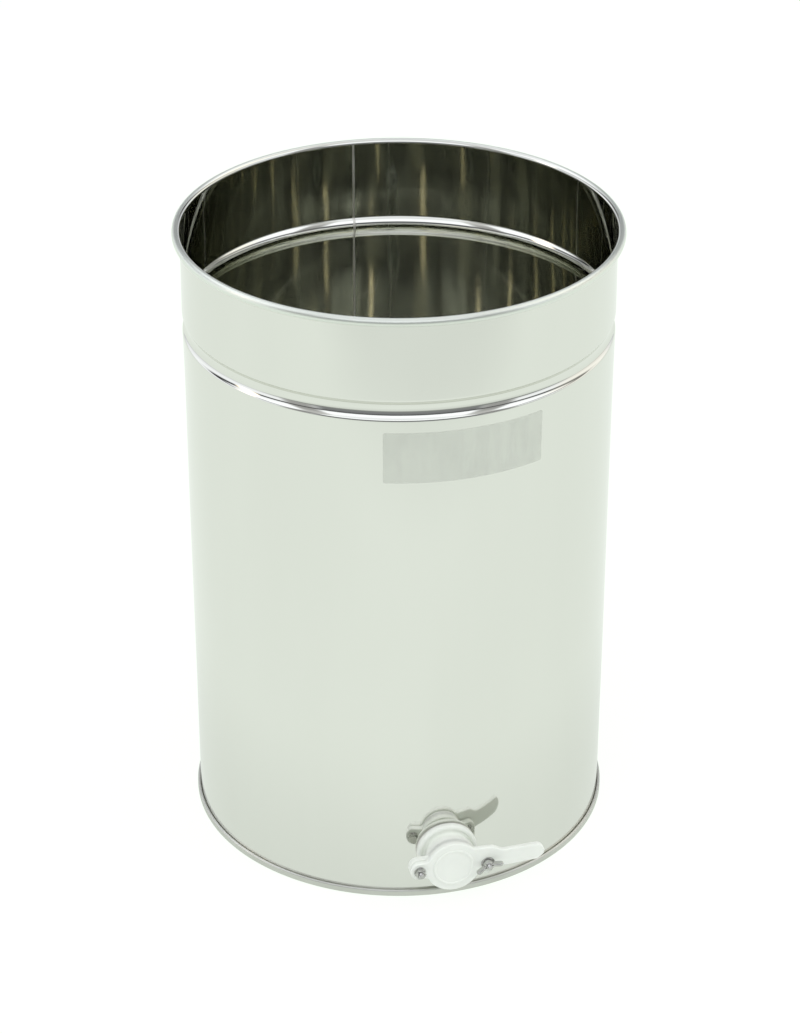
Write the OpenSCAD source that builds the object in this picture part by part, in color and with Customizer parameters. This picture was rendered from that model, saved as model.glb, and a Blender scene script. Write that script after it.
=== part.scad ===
// Honey settling tank: a rolled sheet-metal drum with a swinging plastic gate at its foot.
// Millimetres, +Z up. The origin is the centre of the base ring, on the floor.
// The gate points along -Y, and the wall's upright weld is opposite it, at +Y.

/* [Tank wall] */
// Outside diameter of the wall
tank_d = 360; // [300:1:440]
// Height over the rolled rim
tank_h = 548; // [440:1:700]
// Thickness of the sheet
sheet_t = 0.8; // [0.6:0.1:1.2]
// Diameter of the wire inside the rolled rim
rim_wire_d = 5.2; // [4:0.2:8]
// Width of the wall's upright weld
weld_w = 2.4; // [1.6:0.2:4]
// How far the weld stands out of the wall
weld_proud = 0.2; // [0.1:0.05:0.4]

/* [Strainer bead] */
// Distance from the top of the rim to the middle of the bead
bead_drop = 81.5; // [60:0.5:120]
// Height of the bead from edge to edge
bead_h = 19; // [12:0.5:24]
// How far the bead is pressed inwards
bead_depth = 3.8; // [2:0.1:4.4]
// Outer bend radius at the bead's two edges
bead_edge_r = 3; // [2:0.5:4]

/* [Bottom] */
// Height of the folded seam round the foot
seam_h = 6; // [5.4:0.2:9]
// Gap between the folded layers of the seam
seam_gap = 0.15; // [0.1:0.05:0.25]
// Height of the sealing compound in the seam
sealant_h = 1; // [0.8:0.1:1.4]
// Height of the bottom panel's underside above the floor
panel_lift = 6.2; // [4:0.2:12]
// Bend radius round the edge of the bottom panel
panel_bend_r = 3; // [2:0.5:4]

/* [Label] */
// Width of the label film along the wall
label_w = 136; // [60:1:180]
// Height of the label film
label_h = 45; // [30:1:50]
// Distance from the middle of the bead down to the middle of the label
label_drop = 41.5; // [40:0.5:120]
// Turn of the label from the gate, towards +X, in degrees
label_turn = 4.75; // [-30:0.25:30]
// Thickness of the label film
label_t = 0.15; // [0.1:0.05:0.3]

/* [Gate body] */
// Height of the gate's axis above the floor
gate_z = 46; // [44:1:140]
// Diameter of the gate's bore
bore_d = 32; // [24:1:34]
// Outside diameter of the threaded spigot
spigot_d = 41; // [40:0.5:44]
// Pitch of the spigot's thread
thread_pitch = 2.3; // [1.5:0.1:3]
// Depth of the spigot's thread
thread_depth = 1.2; // [0.8:0.1:1.4]
// Diameter of the collar against the wall
collar_d = 52.5; // [50:0.5:60]
// Thickness of the collar
collar_t = 5; // [4.5:0.5:9]
// Rounding of the collar's outer edge
collar_round = 2.5; // [1:0.5:3]
// Diameter of the neck
neck_d = 38; // [37:0.5:42]
// Diameter of the seat flange
flange_d = 44; // [42:0.5:46]
// Thickness of the seat flange
flange_t = 10.7; // [8:0.1:12]
// Distance from the wall to the seat face
seat_reach = 23.6; // [22:0.1:36]
// Distance between the pivot bolt and the clamp bolt
bolt_span = 59; // [57:1:70]
// Radius of the ears round the bolts
ear_r = 8; // [7:0.5:9]
// Thickness of the body's ears
ear_t = 6; // [4:0.5:7]
// How far the clamp bolt's ear reaches down below its bolt
clamp_ear_drop = 6.8; // [0:0.2:8]
// Fillet where an ear meets its disc
ear_fillet_r = 4; // [2:0.5:6]

/* [Wall joint] */
// Thickness of the outer gasket at the gate's axis
outer_pad_t = 1.5; // [1:0.5:2.5]
// Least thickness of the inner gasket
inner_pad_t = 1; // [0.8:0.1:3]
// Diameter of both gaskets
pad_d = 50; // [47:1:51]
// Distance across the lock nut's flats
lock_nut_flats = 50; // [48:1:56]
// Turns of thread in the lock nut
lock_nut_turns = 4; // [3:1:5]
// Turns of thread past the lock nut
spare_turns = 2; // [1:1:4]

/* [Gate blade] */
// Diameter of the blade's disc
blade_d = 47; // [44:0.5:50]
// Thickness of the blade
blade_t = 5; // [3.5:0.5:7]
// Distance from the gate's axis to the tip of the lever
lever_reach = 80; // [70:1:100]
// Height of the lever
lever_h = 16; // [14:0.5:20]
// Outside diameter of the raised ring on the blade
ring_d = 35.6; // [28:0.2:40]
// Width of the raised ring
ring_w = 1.8; // [1:0.1:3]
// How far the ring stands out of the blade
ring_h = 0.8; // [0.4:0.1:1.5]
// Section diameter of the rubber ring in the seat
seat_seal_d = 2; // [1.6:0.1:2.4]

/* [Bolts] */
// Diameter of both bolts
bolt_d = 5; // [4:0.5:6]
// Pitch of the bolts' thread
bolt_pitch = 0.8; // [0.7:0.1:1]
// Distance across the flats of the bolt heads and the pivot nut
hex_flats = 8; // [7:0.5:9]
// Height of the bolt heads
head_h = 3.5; // [2.5:0.1:4.5]
// Height of the pivot nut
nut_h = 4; // [3:0.1:5]
// Outside diameter of the small washers
washer_d = 10; // [9:0.5:12]
// Outside diameter of the washer under the wing nut
clamp_washer_d = 12; // [10:0.5:15]
// Thickness of all washers
washer_t = 1; // [0.6:0.1:1.6]
// How far the pivot bolt stands out of its nut
pivot_tip = 2.8; // [1:0.2:5]
// Span across the wing nut's wings
wing_span = 24; // [20:0.5:30]
// Height of the wing nut
wing_nut_h = 8.6; // [8:0.2:13]
// Height of the wing nut's hub
wing_hub_h = 4.6; // [4:0.2:7]
// Diameter of the wing nut's hub at its foot
wing_hub_d = 9.2; // [8:0.2:11]
// Thickness of the wings
wing_t = 2.2; // [1.4:0.2:3]
// Turn of the wings from level, in degrees
wing_turn = 18; // [-90:1:90]
// Turns that the wing nut can back off
wing_nut_turns = 3; // [1:1:4]

/* [Hidden] */
$fn = 128;

// Steps on a bend or a rounded corner, and on the curl of the rim
bend_steps = 6;
curl_steps = 30;
// Sides of the large cylinder that shapes the gaskets
wall_sides = 720;
// How far a cut runs past what it cuts
overrun = 1;

// Clearances
rest_gap = 0.05;
thread_gap = 0.15;
hole_gap = 0.3;
wire_gap = 0.1;
bolt_hole_gap = 0.1;
running_gap = 0.06;
blade_gap = 0.3;
nut_gap = 0.2;
notch_gap = 0.5;

// Tank wall
tank_r = tank_d / 2;
inner_r = tank_r - sheet_t;
curl_in_r = rim_wire_d / 2 + wire_gap;
curl_out_r = curl_in_r + sheet_t;
curl_r = tank_r + curl_in_r;
curl_z = tank_h - curl_out_r;
curl_end_angle = -130;
weld_angle = weld_w / (tank_r * PI) * 180;

// Strainer bead: two edge bends and a wider root bend between them
bead_z = tank_h - bead_drop;
bead_half = bead_h / 2;
bead_flank = 2 * atan(bead_depth / bead_half);
bead_root_r = bead_half / sin(bead_flank) - bead_edge_r;
bead_edge_axis = tank_r - bead_edge_r;
bead_root_axis = bead_edge_axis + (bead_edge_r + bead_root_r) * cos(bead_flank);

// Seam layers, from the inside outwards, and their ends
chuck_out_r = inner_r - seam_gap;
chuck_in_r = chuck_out_r - sheet_t;
cover_in_r = tank_r + seam_gap;
cover_out_r = cover_in_r + sheet_t;
hook_in_r = cover_out_r + seam_gap;
hook_out_r = hook_in_r + sheet_t;
seam_in_r = hook_out_r + seam_gap;
seam_out_r = seam_in_r + sheet_t;
fold_z = sheet_t + seam_gap;
fold_top_z = fold_z + sheet_t;
cover_end_z = fold_top_z + sealant_h + 2 * seam_gap;
hook_end_z = seam_h - sheet_t - seam_gap;
panel_bend_z = panel_lift + sheet_t - panel_bend_r;

// Label
label_angle = label_w / (tank_r * PI) * 180;
label_z = bead_z - label_drop;

// Gate body, along the gate's axis and outwards from the wall
bore_r = bore_d / 2;
spigot_r = spigot_d / 2;
collar_r = collar_d / 2;
neck_r = neck_d / 2;
flange_r = flange_d / 2;
pad_r = pad_d / 2;
pad_in_r = spigot_r + hole_gap;
saddle_drop = inner_r - sqrt(inner_r * inner_r - pad_r * pad_r);
outer_drop = tank_r - sqrt(tank_r * tank_r - pad_r * pad_r);
nut_face = -(sheet_t + saddle_drop + inner_pad_t);
lock_nut_t = lock_nut_turns * thread_pitch;
spigot_turns = lock_nut_turns + spare_turns;
spigot_end = nut_face - spigot_turns * thread_pitch;
collar_back = outer_pad_t;
collar_face = collar_back + collar_t;
collar_dip = 0.8;
neck_fillet_r = 1.2;
collar_dip_r = (collar_r - collar_round + neck_r + neck_fillet_r) / 2;
flange_back = seat_reach - flange_t;
flange_bevel = 1.2;
ear_step = 0.3;
ear_back = seat_reach - ear_step - ear_t;
bolt_x = bolt_span / 2;

// Seat ring and its groove
seal_r = seat_seal_d / 2;
seal_proud = 0.1;
groove_gap = 0.05;
seal_mid_r = (bore_r + flange_r) / 2;
groove_depth = seat_seal_d - seal_proud + groove_gap;
groove_half = seal_r + groove_gap;

// Blade
blade_r = blade_d / 2;
blade_back = seat_reach + blade_gap;
blade_face = blade_back + blade_t;
ring_r = ring_d / 2;
ring_slope_share = 0.25;
lever_len = lever_reach - bolt_x;
bolt_r = bolt_d / 2;
notch_r = bolt_r + notch_gap;
notch_prong_drop = ear_r;
notch_prong_gap = 4;
notch_lip_gap = 5.4;

// Lever outline from the clamp bolt: shares of its length and height, and corner radius shares of the height
lever_corner_shares = [
    [0.10, 0.98, 0.50],
    [0.25, 0.68, 0.70],
    [0.93, 0.79, 0.42],
    [1.00, 0.20, 0.32],
    [0.88, -0.18, 0.36],
    [0.25, -0.34, 0.25]
];
lever_root_share = 0.98;
lever_lip_share = -0.36;

// Bolts, nuts and washers, along the gate's axis
washer_hole_r = bolt_r + bolt_hole_gap;
head_face = ear_back - washer_t;
nut_face_out = blade_face + nut_gap;
nut_seat = nut_face_out + washer_t;
pivot_end = nut_seat + nut_h + pivot_tip;
wing_seat = nut_seat + rest_gap;
wing_travel = wing_nut_turns * bolt_pitch;
clamp_end = wing_seat + wing_hub_h + wing_travel + bolt_pitch;
tip_bevel = bolt_pitch;
hex_r = hex_flats / sqrt(3);
hex_bevel_share = 0.12;
lock_nut_r = lock_nut_flats / sqrt(3);
wing_tip_r_share = 0.28;
wing_root_r_share = 0.5;
wing_hub_top_share = 0.82;
wing_tip_r = wing_nut_h * wing_tip_r_share;
wing_tip_x = wing_span / 2 - wing_tip_r;
wing_tip_z = wing_nut_h - wing_tip_r;
wing_root_r = wing_hub_h * wing_root_r_share;

// Points on an arc about c, from angle a0 to angle a1
function arc(c, r, a0, a1, steps) =
    [for (i = [0:steps]) c + r * [cos(a0 + (a1 - a0) * i / steps), sin(a0 + (a1 - a0) * i / steps)]];

function unit(v) = v / norm(v);

// Arc of radius r that rounds the corner q between its neighbours p and s
function corner(p, q, s, r) =
    let (
        u = unit(p - q),
        v = unit(s - q),
        half = acos(u * v) / 2,
        c = q + unit(u + v) * r / sin(half),
        a = q + u * r / tan(half) - c,
        b = q + v * r / tan(half) - c,
        a0 = atan2(a.y, a.x),
        turn = (atan2(b.y, b.x) - a0 + 540) % 360 - 180
    )
    arc(c, r, a0, a0 + turn, bend_steps);

// Outline through [x, y, radius] corners, where a radius of 0 keeps the corner sharp
function rounded(pts) =
    let (count = len(pts), flat = [for (p = pts) [p.x, p.y]])
    [for (i = [0:count - 1])
        each pts[i].z > 0
            ? corner(flat[(i + count - 1) % count], flat[i], flat[(i + 1) % count], pts[i].z)
            : [flat[i]]];

// Upright face of the wall over the bead, offset outwards by out, from its lower to its upper edge
function bead_face(out) = concat(
    arc([bead_edge_axis, bead_z - bead_half], bead_edge_r + out, 0, bead_flank, bend_steps),
    arc([bead_root_axis, bead_z], bead_root_r - out, 180 + bead_flank, 180 - bead_flank, 2 * bend_steps),
    arc([bead_edge_axis, bead_z + bead_half], bead_edge_r + out, -bead_flank, 0, bend_steps)
);

function reversed(pts) = [for (i = [len(pts) - 1:-1:0]) pts[i]];

// Section of the wall: folded foot, outer face, curl round the rim wire and inner face
wall_section = concat(
    [
        [inner_r, fold_z],
        [hook_out_r, fold_z],
        [hook_out_r, hook_end_z],
        [hook_in_r, hook_end_z],
        [hook_in_r, fold_top_z],
        [tank_r, fold_top_z]
    ],
    bead_face(0),
    arc([curl_r, curl_z], curl_in_r, 180, curl_end_angle, curl_steps),
    arc([curl_r, curl_z], curl_out_r, curl_end_angle, 180, curl_steps),
    reversed(bead_face(-sheet_t))
);

// Section of the weld's raised cap, from the middle of the sheet to its crown
weld_low_z = seam_h + seam_gap;
weld_high_z = curl_z - 2 * curl_out_r;
weld_section = concat(
    [[tank_r + weld_proud, weld_low_z]],
    bead_face(weld_proud),
    [[tank_r + weld_proud, weld_high_z], [tank_r - sheet_t / 2, weld_high_z]],
    reversed(bead_face(-sheet_t / 2)),
    [[tank_r - sheet_t / 2, weld_low_z]]
);

// Section of the bottom: panel, turned-down edge and the layers folded over the wall's foot
bottom_section = concat(
    [[0, panel_lift]],
    arc([chuck_out_r - panel_bend_r, panel_bend_z], panel_bend_r - sheet_t, 90, 0, bend_steps),
    [[chuck_in_r, 0]],
    arc([seam_in_r, sheet_t], sheet_t, -90, 0, bend_steps),
    arc([seam_in_r, seam_h - sheet_t], sheet_t, 0, 90, bend_steps),
    [
        [cover_in_r, seam_h],
        [cover_in_r, cover_end_z],
        [cover_out_r, cover_end_z],
        [cover_out_r, seam_h - sheet_t],
        [seam_in_r, seam_h - sheet_t],
        [seam_in_r, sheet_t],
        [chuck_out_r, sheet_t]
    ],
    arc([chuck_out_r - panel_bend_r, panel_bend_z], panel_bend_r, 0, 90, bend_steps),
    [[0, panel_lift + sheet_t]]
);

// Thread flanks as rings, offset outwards by out, over a number of turns
function thread_face(out, start, turns) = [
    for (i = [0:turns - 1])
    each [
        [spigot_r - thread_depth + out, start + i * thread_pitch],
        [spigot_r + out, start + (i + 1 / 2) * thread_pitch]
    ]
];

// Section of the gate body round its bore
body_section = concat(
    [[bore_r, spigot_end]],
    thread_face(0, spigot_end, spigot_turns),
    [
        [spigot_r - thread_depth, nut_face],
        [spigot_r, nut_face],
        [spigot_r, collar_back],
        [collar_r, collar_back]
    ],
    arc([collar_r - collar_round, collar_face - collar_round], collar_round, 0, 90, bend_steps),
    [[collar_dip_r, collar_face - collar_dip]],
    arc([neck_r + neck_fillet_r, collar_face - collar_dip + neck_fillet_r], neck_fillet_r, 270, 180, bend_steps),
    [
        [neck_r, flange_back],
        [flange_r - flange_bevel, flange_back],
        [flange_r, flange_back + flange_bevel],
        [flange_r, seat_reach],
        [seal_mid_r + groove_half, seat_reach],
        [seal_mid_r + groove_half, seat_reach - groove_depth],
        [seal_mid_r - groove_half, seat_reach - groove_depth],
        [seal_mid_r - groove_half, seat_reach],
        [bore_r, seat_reach]
    ]
);

// Outline of the lever and the web behind the notch, from the middle of the blade
lever_outline = concat(
    [[0, lever_h * lever_root_share, 0]],
    [for (c = lever_corner_shares) [bolt_x + lever_len * c.x, lever_h * c.y, lever_h * c.z]],
    [
        [bolt_x + notch_r + notch_lip_gap, lever_h * lever_lip_share, 0],
        [bolt_x - notch_r - notch_prong_gap, -notch_prong_drop, 0],
        [0, -notch_prong_drop, 0]
    ]
);

// Sets a piece on the gate's axis: x along +X, y up and z outwards from the wall
module on_gate_axis(x = 0, out = 0) {
    translate([0, -tank_r, gate_z])
        rotate([90, 0, 0])
            translate([x, 0, out])
                children();
}

module ring(outer_r, hole_r, height) {
    linear_extrude(height)
        difference() {
            circle(outer_r);
            circle(hole_r);
        }
}

// Fillet between a disc and a level edge that leaves it at height edge_y
module root_fillet(disc_r, edge_y) {
    fillet_y = edge_y + ear_fillet_r;
    fillet_x = sqrt(pow(disc_r + ear_fillet_r, 2) - fillet_y * fillet_y);
    difference() {
        polygon([
            [0, 0],
            [fillet_x, 0],
            [fillet_x, fillet_y],
            [fillet_x, fillet_y] * disc_r / (disc_r + ear_fillet_r)
        ]);
        translate([fillet_x, fillet_y]) circle(ear_fillet_r);
    }
}

// Ear to the right of a disc, reaching down by drop, with fillets at its root
module ear_outline(disc_r, drop = 0) {
    translate([bolt_x, 0]) circle(ear_r);
    if (drop > 0) {
        translate([bolt_x, -drop]) circle(ear_r);
        translate([bolt_x, -drop]) square([ear_r, drop]);
    }
    translate([0, -ear_r - drop]) square([bolt_x, 2 * ear_r + drop]);
    root_fillet(disc_r, ear_r);
    mirror([0, 1]) root_fillet(disc_r, ear_r + drop);
}

// Hexagon block with both faces bevelled at the corners
module hex_block(corner_r, height) {
    bevel = corner_r * hex_bevel_share;
    intersection() {
        cylinder(r = corner_r, h = height, $fn = 6);
        rotate_extrude()
            polygon([
                [0, 0],
                [corner_r - bevel, 0],
                [corner_r, bevel / 2],
                [corner_r, height - bevel / 2],
                [corner_r - bevel, height],
                [0, height]
            ]);
    }
}

// Hex bolt from the back of its head to a bevelled tip at end
module gate_bolt(end) {
    translate([0, 0, head_face - head_h]) hex_block(hex_r, head_h);
    translate([0, 0, head_face - overrun])
        rotate_extrude()
            polygon([
                [0, 0],
                [bolt_r, 0],
                [bolt_r, end - head_face + overrun - tip_bevel],
                [bolt_r - tip_bevel, end - head_face + overrun],
                [0, end - head_face + overrun]
            ]);
}

// Flat bar with a round end at each of two points
module round_bar(p, p_r, q, q_r) {
    along = q - p;
    lean = acos((p_r - q_r) / norm(along));
    turn = atan2(along.y, along.x);
    up = [cos(turn + lean), sin(turn + lean)];
    down = [cos(turn - lean), sin(turn - lean)];
    translate(p) circle(p_r);
    translate(q) circle(q_r);
    polygon([p + up * p_r, q + up * q_r, q + down * q_r, p + down * p_r]);
}

// Rolled wall, open by the width of its weld and drilled for the gate
module tank_shell() {
    color("gainsboro")
        difference() {
            rotate([0, 0, 90 + weld_angle / 2])
                rotate_extrude(angle = 360 - weld_angle)
                    polygon(wall_section);
            on_gate_axis(0, -bore_d) cylinder(r = pad_in_r, h = bore_d + overrun);
        }
}

// Butt weld that closes the wall, with a low cap on the outside
module seam_weld() {
    color("silver")
        rotate([0, 0, 90 - weld_angle / 2])
            rotate_extrude(angle = weld_angle) {
                polygon(wall_section);
                polygon(weld_section);
            }
}

module rim_wire() {
    color("darkgray")
        rotate_extrude()
            translate([curl_r, curl_z])
                circle(d = rim_wire_d);
}

module tank_bottom() {
    color("gainsboro")
        rotate_extrude()
            polygon(bottom_section);
}

// Compound in the pocket between the wall's foot and its hook
module seam_sealant() {
    color("dimgray")
        translate([0, 0, fold_top_z + rest_gap])
            ring(hook_in_r - rest_gap, tank_r + rest_gap, sealant_h);
}

module label_film() {
    color("lightgray")
        rotate([0, 0, label_turn - 90 - label_angle / 2])
            rotate_extrude(angle = label_angle)
                translate([tank_r + rest_gap, label_z - label_h / 2])
                    square([label_t, label_h]);
}

// Spigot, collar, neck and seat flange turned about the bore, with an ear on each side
module gate_body() {
    color("white")
        on_gate_axis()
            difference() {
                union() {
                    rotate_extrude() polygon(body_section);
                    translate([0, 0, ear_back])
                        linear_extrude(ear_t)
                            difference() {
                                union() {
                                    mirror([1, 0]) ear_outline(flange_r);
                                    ear_outline(flange_r, clamp_ear_drop);
                                }
                                circle((flange_r + seal_mid_r + groove_half) / 2);
                            }
                }
                for (x = [-bolt_x, bolt_x])
                    translate([x, 0, ear_back - overrun])
                        cylinder(r = washer_hole_r, h = ear_t + 2 * overrun);
            }
}

// Rubber ring that fills the space between the flat collar and the round wall
module outer_gasket() {
    color("whitesmoke")
        difference() {
            on_gate_axis(0, -outer_drop) ring(pad_r, pad_in_r, outer_drop + outer_pad_t);
            cylinder(r = tank_r + rest_gap, h = tank_h, $fn = wall_sides);
        }
}

// Rubber ring that fills the space between the round wall and the flat lock nut
module inner_gasket() {
    color("whitesmoke")
        intersection() {
            on_gate_axis(0, nut_face) ring(pad_r, pad_in_r, -nut_face);
            cylinder(r = inner_r - rest_gap, h = tank_h, $fn = wall_sides);
        }
}

module lock_nut() {
    color("white")
        on_gate_axis(0, nut_face - lock_nut_t)
            difference() {
                hex_block(lock_nut_r, lock_nut_t);
                rotate_extrude()
                    polygon(concat(
                        [[0, 0]],
                        thread_face(thread_gap, 0, lock_nut_turns),
                        [
                            [spigot_r - thread_depth + thread_gap, lock_nut_t],
                            [0, lock_nut_t]
                        ]
                    ));
            }
}

module seat_seal() {
    color("black")
        on_gate_axis(0, seat_reach + seal_proud - seal_r)
            rotate_extrude()
                translate([seal_mid_r, 0])
                    circle(seal_r);
}

// Disc, pivot ear and lever in one plate, with a notch that hooks over the clamp bolt
module gate_blade() {
    color("white")
        on_gate_axis(0, blade_back)
            difference() {
                union() {
                    linear_extrude(blade_t)
                        difference() {
                            union() {
                                circle(blade_r);
                                mirror([1, 0]) ear_outline(blade_r);
                                root_fillet(blade_r, lever_h * lever_root_share);
                                polygon(rounded(lever_outline));
                            }
                            translate([bolt_x, 0]) circle(notch_r);
                            polygon([
                                [bolt_x - notch_r, 0],
                                [bolt_x + notch_r, 0],
                                [bolt_x + notch_r + notch_lip_gap, -notch_prong_drop],
                                [bolt_x + notch_r, -notch_prong_drop - overrun],
                                [bolt_x - notch_r - notch_prong_gap, -notch_prong_drop - overrun]
                            ]);
                        }
                    translate([0, 0, blade_t])
                        rotate_extrude()
                            polygon([
                                [ring_r - ring_w, 0],
                                [ring_r, 0],
                                [ring_r - ring_w * ring_slope_share, ring_h],
                                [ring_r - ring_w + ring_w * ring_slope_share, ring_h]
                            ]);
                }
                translate([-bolt_x, 0, -overrun])
                    cylinder(r = bolt_r + running_gap, h = blade_t + 2 * overrun);
            }
}

module pivot_bolt() {
    color("silver") on_gate_axis(-bolt_x) gate_bolt(pivot_end);
}

module pivot_head_washer() {
    color("silver") on_gate_axis(-bolt_x, head_face) ring(washer_d / 2, washer_hole_r, washer_t);
}

module pivot_washer() {
    color("silver") on_gate_axis(-bolt_x, nut_face_out) ring(washer_d / 2, washer_hole_r, washer_t);
}

module pivot_nut() {
    color("silver")
        on_gate_axis(-bolt_x, nut_seat)
            difference() {
                hex_block(hex_r, nut_h);
                translate([0, 0, -overrun]) cylinder(r = bolt_r + rest_gap, h = nut_h + 2 * overrun);
            }
}

module clamp_bolt() {
    color("silver") on_gate_axis(bolt_x) gate_bolt(clamp_end);
}

module clamp_head_washer() {
    color("silver") on_gate_axis(bolt_x, head_face) ring(washer_d / 2, washer_hole_r, washer_t);
}

module clamp_washer() {
    color("silver") on_gate_axis(bolt_x, nut_face_out) ring(clamp_washer_d / 2, washer_hole_r, washer_t);
}

// Tapered hub with two flared wings
module wing_nut() {
    color("silver")
        on_gate_axis(bolt_x, wing_seat)
            difference() {
                union() {
                    rotate_extrude()
                        polygon([
                            [0, 0],
                            [wing_hub_d / 2, 0],
                            [wing_hub_d / 2 * wing_hub_top_share, wing_hub_h],
                            [0, wing_hub_h]
                        ]);
                    for (side = [0, 180])
                        rotate([90, 0, wing_turn + side])
                            translate([0, 0, -wing_t / 2])
                                linear_extrude(wing_t)
                                    round_bar(
                                        [wing_hub_d / 2 * wing_root_r_share, wing_root_r],
                                        wing_root_r,
                                        [wing_tip_x, wing_tip_z],
                                        wing_tip_r
                                    );
                }
                translate([0, 0, -overrun]) cylinder(r = bolt_r + running_gap, h = wing_nut_h + 2 * overrun);
            }
}

tank_shell();
seam_weld();
rim_wire();
tank_bottom();
seam_sealant();
label_film();
gate_body();
outer_gasket();
inner_gasket();
lock_nut();
seat_seal();
gate_blade();
pivot_bolt();
pivot_head_washer();
pivot_washer();
pivot_nut();
clamp_bolt();
clamp_head_washer();
clamp_washer();
wing_nut();
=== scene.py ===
"""Honey settling tank: a bright steel drum with a white swing gate at its foot.

Each new piece is a surface worked out with numpy, in millimetres in the tank's own frame, and put
into a mesh in metres. The tank stands on z = 0 with its axis on z, and the gate points along -Y.
"""

import logging
import math
from dataclasses import dataclass, field
from enum import Enum
from typing import Callable, Sequence

import bmesh
import bpy
import numpy as np
from mathutils.geometry import tessellate_polygon
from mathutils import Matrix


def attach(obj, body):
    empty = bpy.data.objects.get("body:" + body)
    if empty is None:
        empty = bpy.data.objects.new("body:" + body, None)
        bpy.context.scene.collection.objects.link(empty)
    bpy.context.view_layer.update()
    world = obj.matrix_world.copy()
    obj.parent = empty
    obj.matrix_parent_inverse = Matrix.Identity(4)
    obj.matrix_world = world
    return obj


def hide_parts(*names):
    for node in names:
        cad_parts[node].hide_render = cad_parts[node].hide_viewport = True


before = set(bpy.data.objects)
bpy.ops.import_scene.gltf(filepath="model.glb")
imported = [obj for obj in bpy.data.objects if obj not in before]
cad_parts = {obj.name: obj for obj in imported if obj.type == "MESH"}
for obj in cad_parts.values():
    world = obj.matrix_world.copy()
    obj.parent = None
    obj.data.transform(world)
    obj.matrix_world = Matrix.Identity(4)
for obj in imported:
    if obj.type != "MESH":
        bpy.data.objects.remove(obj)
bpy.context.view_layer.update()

LOG = logging.getLogger("honey_tank")
FULL_TURN = 2 * np.pi

# Rows of points to one turn of a thread, and the angle in degrees that stays sharp on machined pieces.
THREAD_ROWS = 10
CRISP_EDGE = 25.0

# A millimetre in metres, and the slack in millimetres when heights are compared.
MM = 0.001
SLACK = 0.001

# In metres, how close points are joined and how thin a sliver is dropped.
JOIN_DISTANCE = 1e-6
SLIVER_WIDTH = 1e-7

Array = np.ndarray
Colour = tuple[float, float, float]
Move = Callable[[Array], Array]
Socket = bpy.types.NodeSocket
Feed = Socket | float | Sequence[float]


class Body(Enum):
    """Bodies of the construction that pieces ride on."""

    TANK = "tank"
    BLADE = "blade"
    CLAMP_WASHER = "clamp_washer"
    WING_NUT = "wing_nut"


class Slot(Enum):
    """Material slots of the record, passed along with new pieces but not used."""

    SHEET = "stainless_sheet"
    WELD = "weld_metal"
    FILM = "label_film"
    PLASTIC = "gate_plastic"
    RUBBER = "gasket_rubber"
    FASTENER = "fastener_steel"


class Side(Enum):
    """Side of the tank wall that a gasket lies on."""

    OUTER = "outer"
    INNER = "inner"


def arc(centre: Sequence[float], radius: float, start: float, end: float, steps: int) -> Array:
    """Works out points on a circle: centre + radius (cos a, sin a), with a even from start to end.

    Args:
        centre: Middle of the circle.
        radius: Its radius.
        start: First angle, in degrees.
        end: Last angle, in degrees.
        steps: Number of steps between them.

    Returns:
        Points, one row each.
    """
    angle = np.radians(np.linspace(start, end, steps + 1))
    return np.stack([centre[0] + radius * np.cos(angle), centre[1] + radius * np.sin(angle)], axis=-1)


def straight(start: Sequence[float], end: Sequence[float], steps: int) -> Array:
    """Works out points on a line: start + t (end - start), with t even from 0 to 1.

    Args:
        start: First point.
        end: Last point.
        steps: Number of steps between them.

    Returns:
        Points, one row each.
    """
    share = np.linspace(0.0, 1.0, steps + 1)[:, None]
    return np.asarray(start, float) * (1 - share) + np.asarray(end, float) * share


def rounded(corners: Sequence[Sequence[float]], steps: int = 8) -> Array:
    """Rounds an open run of (x, y, radius) corners: an arc tangent to both edges stands for each corner.

    Args:
        corners: Corners in order; the first and last only give directions and are left out.
        steps: Steps on each arc.

    Returns:
        Points from the first arc to the last.
    """
    points = np.asarray(corners, float)
    runs = []
    for before, here, after in zip(points[:-2], points[1:-1], points[2:]):
        back = (before - here)[:2] / np.linalg.norm((before - here)[:2])
        ahead = (after - here)[:2] / np.linalg.norm((after - here)[:2])
        half = np.arccos(np.clip(back @ ahead, -1, 1)) / 2
        bisector = (back + ahead) / np.linalg.norm(back + ahead)
        centre = here[:2] + bisector * here[2] / np.sin(half)
        first = here[:2] + back * here[2] / np.tan(half) - centre
        last = here[:2] + ahead * here[2] / np.tan(half) - centre
        start = np.degrees(np.arctan2(first[1], first[0]))
        turn = (np.degrees(np.arctan2(last[1], last[0])) - start + 540) % 360 - 180
        runs.append(arc(centre, here[2], start, start + turn, steps))
    return np.concatenate(runs)


def inset(outline: Array, depth: float) -> Array:
    """Moves a closed anticlockwise outline inwards: each corner slides along its mitre, each edge by depth.

    Args:
        outline: Corners, one row each.
        depth: Distance inwards, and outwards if it is negative.

    Returns:
        The moved outline, with as many corners.
    """
    edge = np.roll(outline, -1, axis=0) - outline
    edge = edge / np.linalg.norm(edge, axis=1, keepdims=True)
    normal = np.stack([-edge[:, 1], edge[:, 0]], axis=-1)
    mitre = normal + np.roll(normal, 1, axis=0)
    return outline + depth * mitre / np.sum(mitre * normal, axis=1, keepdims=True)


def circle(centre: Sequence[float], radius: float, steps: int) -> Array:
    """Works out a closed circle: an arc of a full turn, without the last point, which is the first again."""
    return arc(centre, radius, 0, 360, steps)[:-1]


def border(grid: Array) -> Array:
    """Works out a grid's closed border: its first row, last column, last row and first column in turn."""
    return np.concatenate([grid[0, :-1], grid[:-1, -1], grid[-1, :0:-1], grid[:0:-1, 0]])


def at_height(outline: Array, height: float) -> Array:
    """Lifts an outline of (x, y) points to a height."""
    return np.column_stack([outline, np.full(len(outline), height)])


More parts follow.
